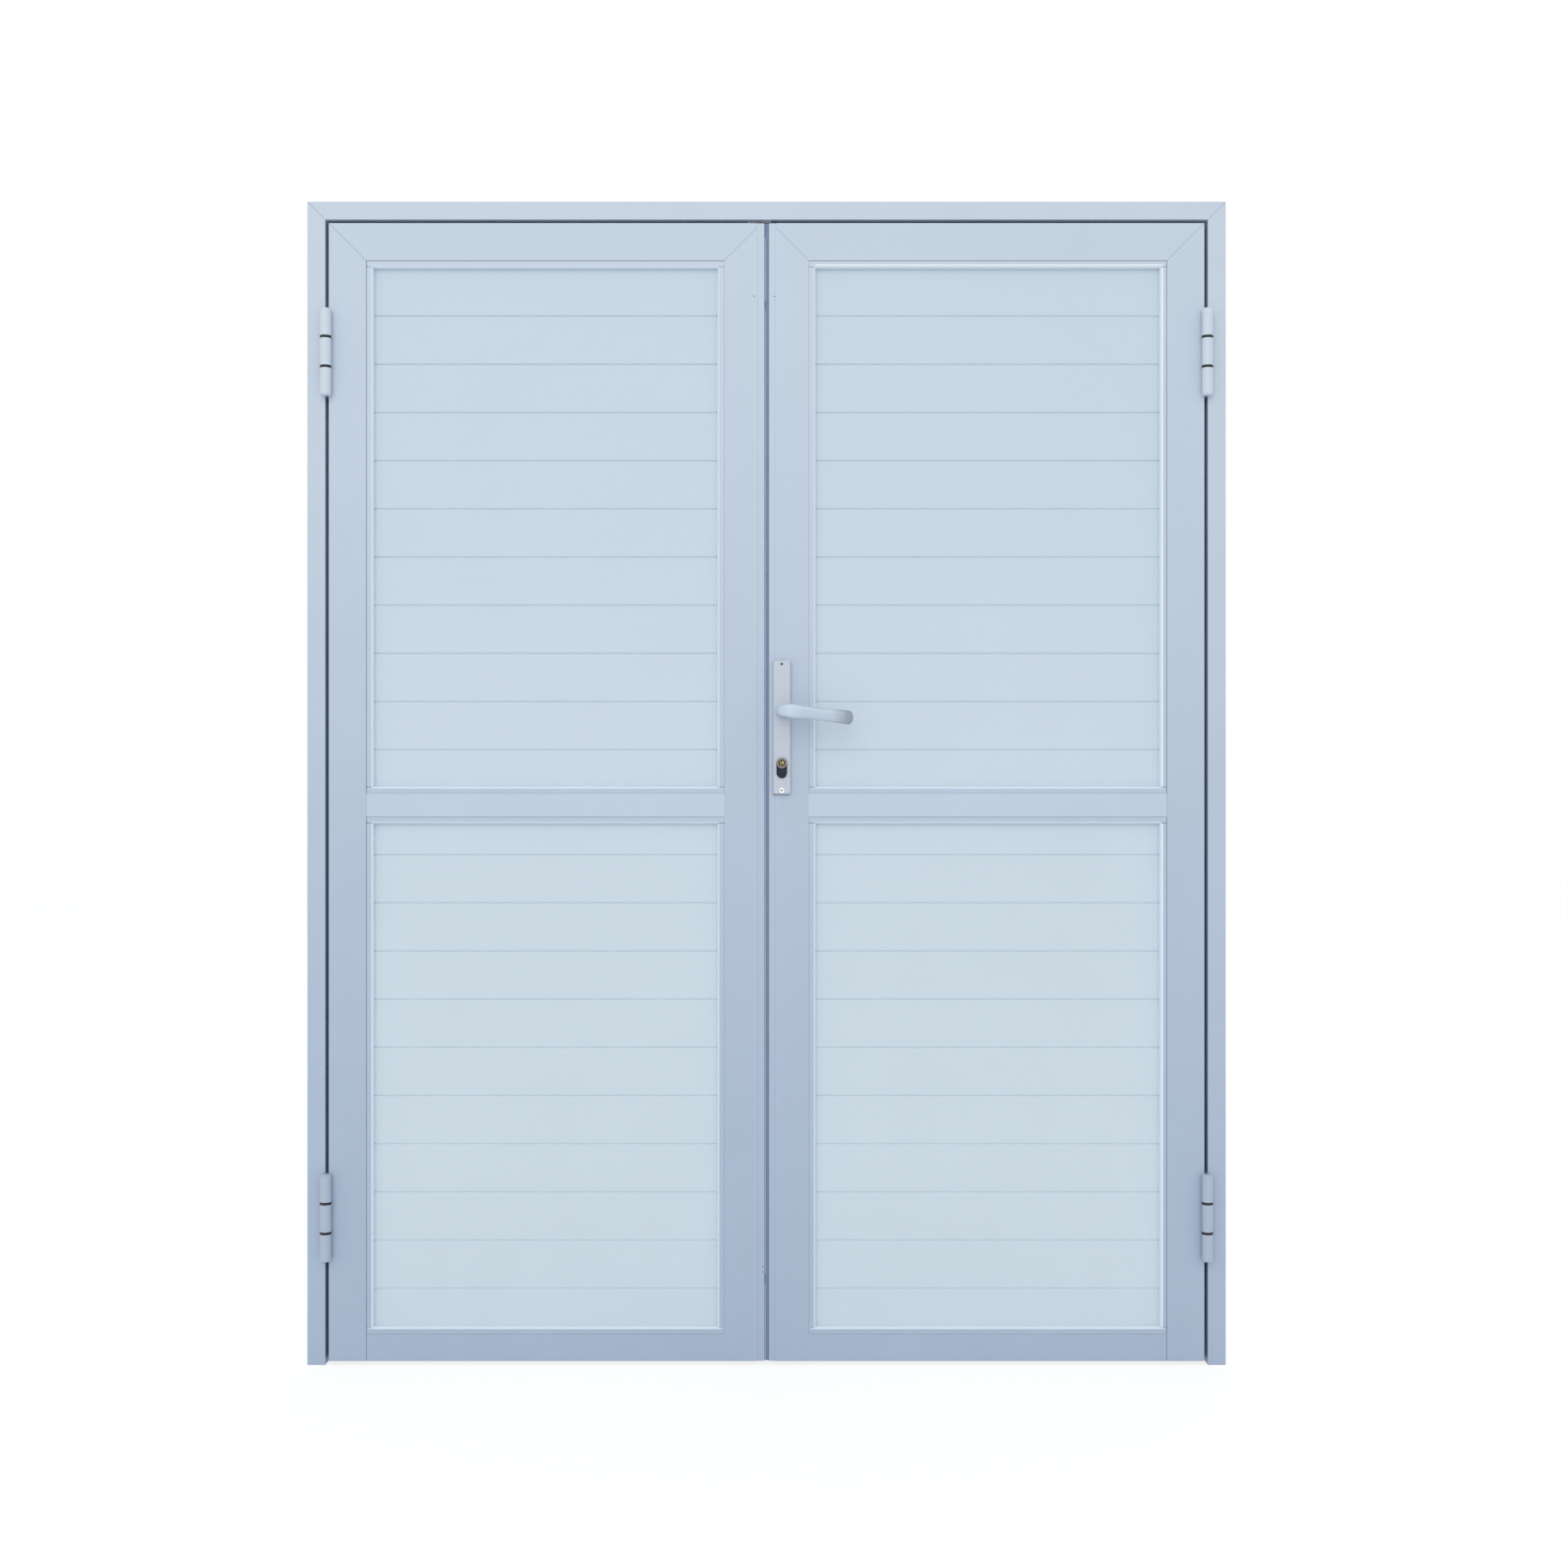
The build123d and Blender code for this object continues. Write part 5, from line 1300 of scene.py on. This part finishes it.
@dataclass
class LockSet:
    """Backplates, lock, bolts and cylinder."""

    finishes: Finishes
    plate_front: float = -0.028
    plate_half_length: float = 0.109
    plate_half_width: float = 0.0138
    screw_offset: float = 0.103
    screw_sunk: float = 0.00015
    gap_half: float = 0.0006
    cylinder_end: float = 0.031
    bevel_proud: float = 0.0002

    def handle_screws(self) -> None:
        """Handle bolts: the upper one small, with a dark finish that is painted shade of its sunk head, and
        the lower one in a bright cup washer.
        """
        heights = (DOOR.plate_z + step * self.screw_offset for step in (1, -1))
        upper, lower = ((DOOR.lever_x, self.plate_front, z) for z in heights)
        screw = CrossScrew(head_radius=0.0021, shank_radius=0.0018, length=0.050, arm=0.0013,
                           arm_half_width=0.0003, recess_depth=0.0009)
        sunk = np.array([0.0, self.screw_sunk, 0.0])
        parts = [screw.placed(upper + sunk, BACK, 20.0), screw.placed(lower - sunk, BACK, 45.0)]
        piece = put_mesh("handle_screw_heads", *merge_parts(parts))
        # Painted shade: the upper head is dark as if it lay in shade
        piece.data.materials.append(self.finishes.dark_screw)
        piece.data.materials.append(self.finishes.zinc)
        faces = np.repeat([0, 1], len(parts[0][1]))[: len(piece.data.polygons)]
        piece.data.polygons.foreach_set("material_index", faces.astype(np.int32))
        place_piece(outward(piece), "right_leaf", "screw", self.finishes.zinc, "handle_screws")
        flush = [(2.1, -0.3), (2.1, -0.05), (3.9, 0.02), (3.9, -0.3), (2.1, -0.3)]
        cup = [(2.1, -0.3), (2.1, 0.2), (2.5, 0.42), (3.1, 0.5), (3.7, 0.4), (4.15, 0.05), (4.15, -0.3),
               (2.1, -0.3)]
        for name, section, place, slot, finish in (
            ("upper_screw_cup", flush, upper, "backplate", self.finishes.plate_lacquer),
            ("lower_screw_cup", cup, lower, "screw", self.finishes.bright_screw),
        ):
            make_piece(name, [lathe(section, place, FRONT)], "right_leaf", slot, finish, crease=50)

    def plate_gap(self) -> None:
        """Dark line along the foot of the outer plate: painted shadow under the plate's edge, over the gap
        between plate and stile.
        """
        z = DOOR.plate_z - self.plate_half_length - self.gap_half
        ends = ((DOOR.lever_x + step * self.plate_half_width, z) for step in (-1, 1))
        strip = front_strip(1, DOOR.leaf_front, *ends, self.gap_half)
        make_piece("plate_gap_line", [strip], "right_leaf", "leaf_profile", self.finishes.grime)

    def cylinder_rings(self) -> None:
        """Collar round each plug, raised rim of the plug, and painted glints: bright brass strips beside the
        keyway.
        """
        collar = [(7.0, -0.2), (7.0, 0.1), (7.3, 0.32), (7.7, 0.28), (8.0, 0.05), (8.0, -0.2), (7.0, -0.2)]
        rim = [(4.4, -0.2), (4.4, 0.1), (4.8, 0.35), (5.6, 0.45), (6.4, 0.3), (6.8, 0.0), (6.8, -0.2),
               (4.4, -0.2)]
        collars, rims, glints = [], [], []
        for face in Face:
            out = float(face.value)
            y = out * self.cylinder_end
            for rings, section in ((collars, collar), (rims, rim)):
                rings.append(lathe(section, (DOOR.lever_x, y, DOOR.cylinder_z), (0.0, out, 0.0), 48))
            # Painted glints: bright strips on each side of the keyway
            for offset, half, low, high in ((-out * 1.7, 0.8, -0.8, 2.8), (out * 1.1, 0.25, -3.4, 3.4)):
                ends = ((DOOR.lever_x + offset * MM, y, DOOR.cylinder_z + rise * MM) for rise in (low, high))
                glints.append(flat_strip(*ends, out, half * MM, self.bevel_proud))
        for name, parts, body, finish in (
            ("cylinder_collars", collars, "right_leaf", self.finishes.zinc),
            ("plug_rims", rims, "cylinder_rotor", self.finishes.aged_brass),
            ("keyway_bevels", glints, "cylinder_rotor", self.finishes.brass),
        ):
            make_piece(name, parts, body, "cylinder", finish, crease=50)

    def build(self) -> None:
        """Make the handle bolts, the line of painted shadow under the plate, and the rings and painted glints
        of the cylinder.
        """
        self.handle_screws()
        self.plate_gap()
        self.cylinder_rings()

    def dress(self) -> None:
        """Give plates, lock and cylinder their finishes."""
        dress(self.finishes.plate_lacquer, "front_backplate", "rear_backplate")
        dress(self.finishes.zinc, "lock_case")
        dress(self.finishes.stainless, "lock_forend", "strike_plate")
        dress(self.finishes.nickel, "latch_bolt", "dead_bolt")
        dress(self.finishes.dark_nickel, "cylinder_body")
        dress(self.finishes.aged_brass, "cylinder_rotor")


@dataclass
class FlushBolts:
    """Edge plates, rods and guides of the flush bolts."""

    finishes: Finishes

    def dress(self) -> None:
        """Give the plates, rods and guides their finishes."""
        dress(self.finishes.stainless, "flush_bolt_fronts")
        dress(self.finishes.nylon, "flush_bolt_guides")
        dress(self.finishes.zinc, "top_flush_bolt", "bottom_flush_bolt")


# Studio


@dataclass
class Studio:
    """Camera, floor, two soft lamps and white surroundings."""

    camera_x: float = 0.0285
    camera_z: float = 0.949
    camera_distance: float = 3.0
    view_width: float = 2.561
    floor_size: float = 30.0
    aim_z: float = 0.95
    lamp_size: float = 7.0

    def camera(self) -> None:
        """Set the camera square in front of the leaves' face."""
        data = bpy.data.cameras.new("camera")
        data.sensor_width = 36.0
        data.lens = data.sensor_width * self.camera_distance / self.view_width
        thing = bpy.data.objects.new("camera", data)
        thing.location = (self.camera_x, DOOR.leaf_front - self.camera_distance, self.camera_z)
        thing.rotation_euler = (math.pi / 2, 0.0, 0.0)
        bpy.context.scene.collection.objects.link(thing)
        bpy.context.scene.camera = thing

    def seen_directly(self, tree: Tree) -> Socket:
        """Share that is one for rays from the camera, from gloss and through glass.

        Args:
            tree: Tree that takes the nodes.

        Returns:
            Socket with the share.
        """
        ray = add_node(tree, "LightPath").outputs
        larger = {"operation": "MAXIMUM"}
        seen = add_node(tree, "Math", larger, {0: ray["Is Camera Ray"], 1: ray["Is Glossy Ray"]}).outputs[0]
        return add_node(tree, "Math", larger, {0: seen, 1: ray["Is Transmission Ray"]}).outputs[0]

    def world(self) -> None:
        """White where it is seen, and a little dimmer where it lights."""
        world = bpy.data.worlds.new("world")
        bpy.context.scene.world = world
        world.use_nodes = True
        tree = world.node_tree
        tree.nodes.clear()
        white = (1, 1, 1, 1)
        lit = add_node(tree, "Background", {}, {"Color": white, "Strength": 0.80}).outputs[0]
        seen = add_node(tree, "Background", {}, {"Color": white, "Strength": 1.0}).outputs[0]
        mix = add_node(tree, "MixShader", {}, {0: self.seen_directly(tree), 1: lit, 2: seen}).outputs[0]
        add_node(tree, "OutputWorld", {}, {"Surface": mix})

    def floor(self) -> None:
        """Pale floor that keeps the door's shadow and is otherwise white to the camera."""
        corners = np.array([(-1, -1, 0), (1, -1, 0), (1, 1, 0), (-1, 1, 0)]) * self.floor_size / 2
        piece = put_mesh("floor", corners, np.array([[0, 1, 2, 3]]), smooth=False)
        material, tree, surface, _ = new_material("pale_floor")
        diffuse = add_node(tree, "BsdfDiffuse", {}, {"Color": linear("#E9ECF0")}).outputs[0]
        white = add_node(tree, "Emission", {}, {"Color": (1, 1, 1, 1), "Strength": 1.10}).outputs[0]
        part = add_node(tree, "MixShader", {}, {0: 0.75, 1: diffuse, 2: white}).outputs[0]
        mix = add_node(tree, "MixShader", {}, {0: self.seen_directly(tree), 1: diffuse, 2: part}).outputs[0]
        tree.links.new(mix, surface)
        piece.data.materials.append(material)

    def lamp(self, name: str, place: Point, power: float) -> None:
        """Square soft white lamp that looks at the middle of the door.

        Args:
            name: Name of the lamp.
            place: Where it stands.
            power: Its power in watts.
        """
        data = bpy.data.lights.new(name, "AREA")
        data.shape = "SQUARE"
        data.size = self.lamp_size
        data.energy = power
        thing = bpy.data.objects.new(name, data)
        thing.location = place
        aim = Vector((0.0, 0.0, self.aim_z)) - Vector(place)
        thing.rotation_euler = aim.to_track_quat("-Z", "Y").to_euler()
        bpy.context.scene.collection.objects.link(thing)

    def build(self) -> None:
        """Set up the whole studio."""
        self.camera()
        self.world()
        self.floor()
        self.lamp("key_lamp", (-1.2, -8.0, 5.0), 176.0)
        self.lamp("rear_lamp", (1.2, 8.0, 5.0), 166.0)
        bpy.context.scene.view_settings.view_transform = "Standard"


def main() -> None:
    """Build and dress every sub-assembly of the door, then the studio."""
    logging.basicConfig(level=logging.INFO, format="%(name)s: %(message)s")
    finishes = Finishes()
    frame_assembly = FrameAssembly(finishes)
    leaves = [LeafAssembly(finishes, side) for side in Side]
    levers, lock, hinges = LeverPair(finishes), LockSet(finishes), HingeSet(finishes)
    seals = (GasketRun(finishes), MeetingSeals(finishes))
    fixings = (ScrewSet(finishes), EdgeRivets(finishes))
    for assembly in (frame_assembly, *leaves, hinges, *seals, *fixings, levers, lock):
        assembly.build()
    for assembly in (frame_assembly, *leaves, hinges, levers, lock, FlushBolts(finishes)):
        assembly.dress()
    Studio().build()


if __name__ == "__main__":
    main()
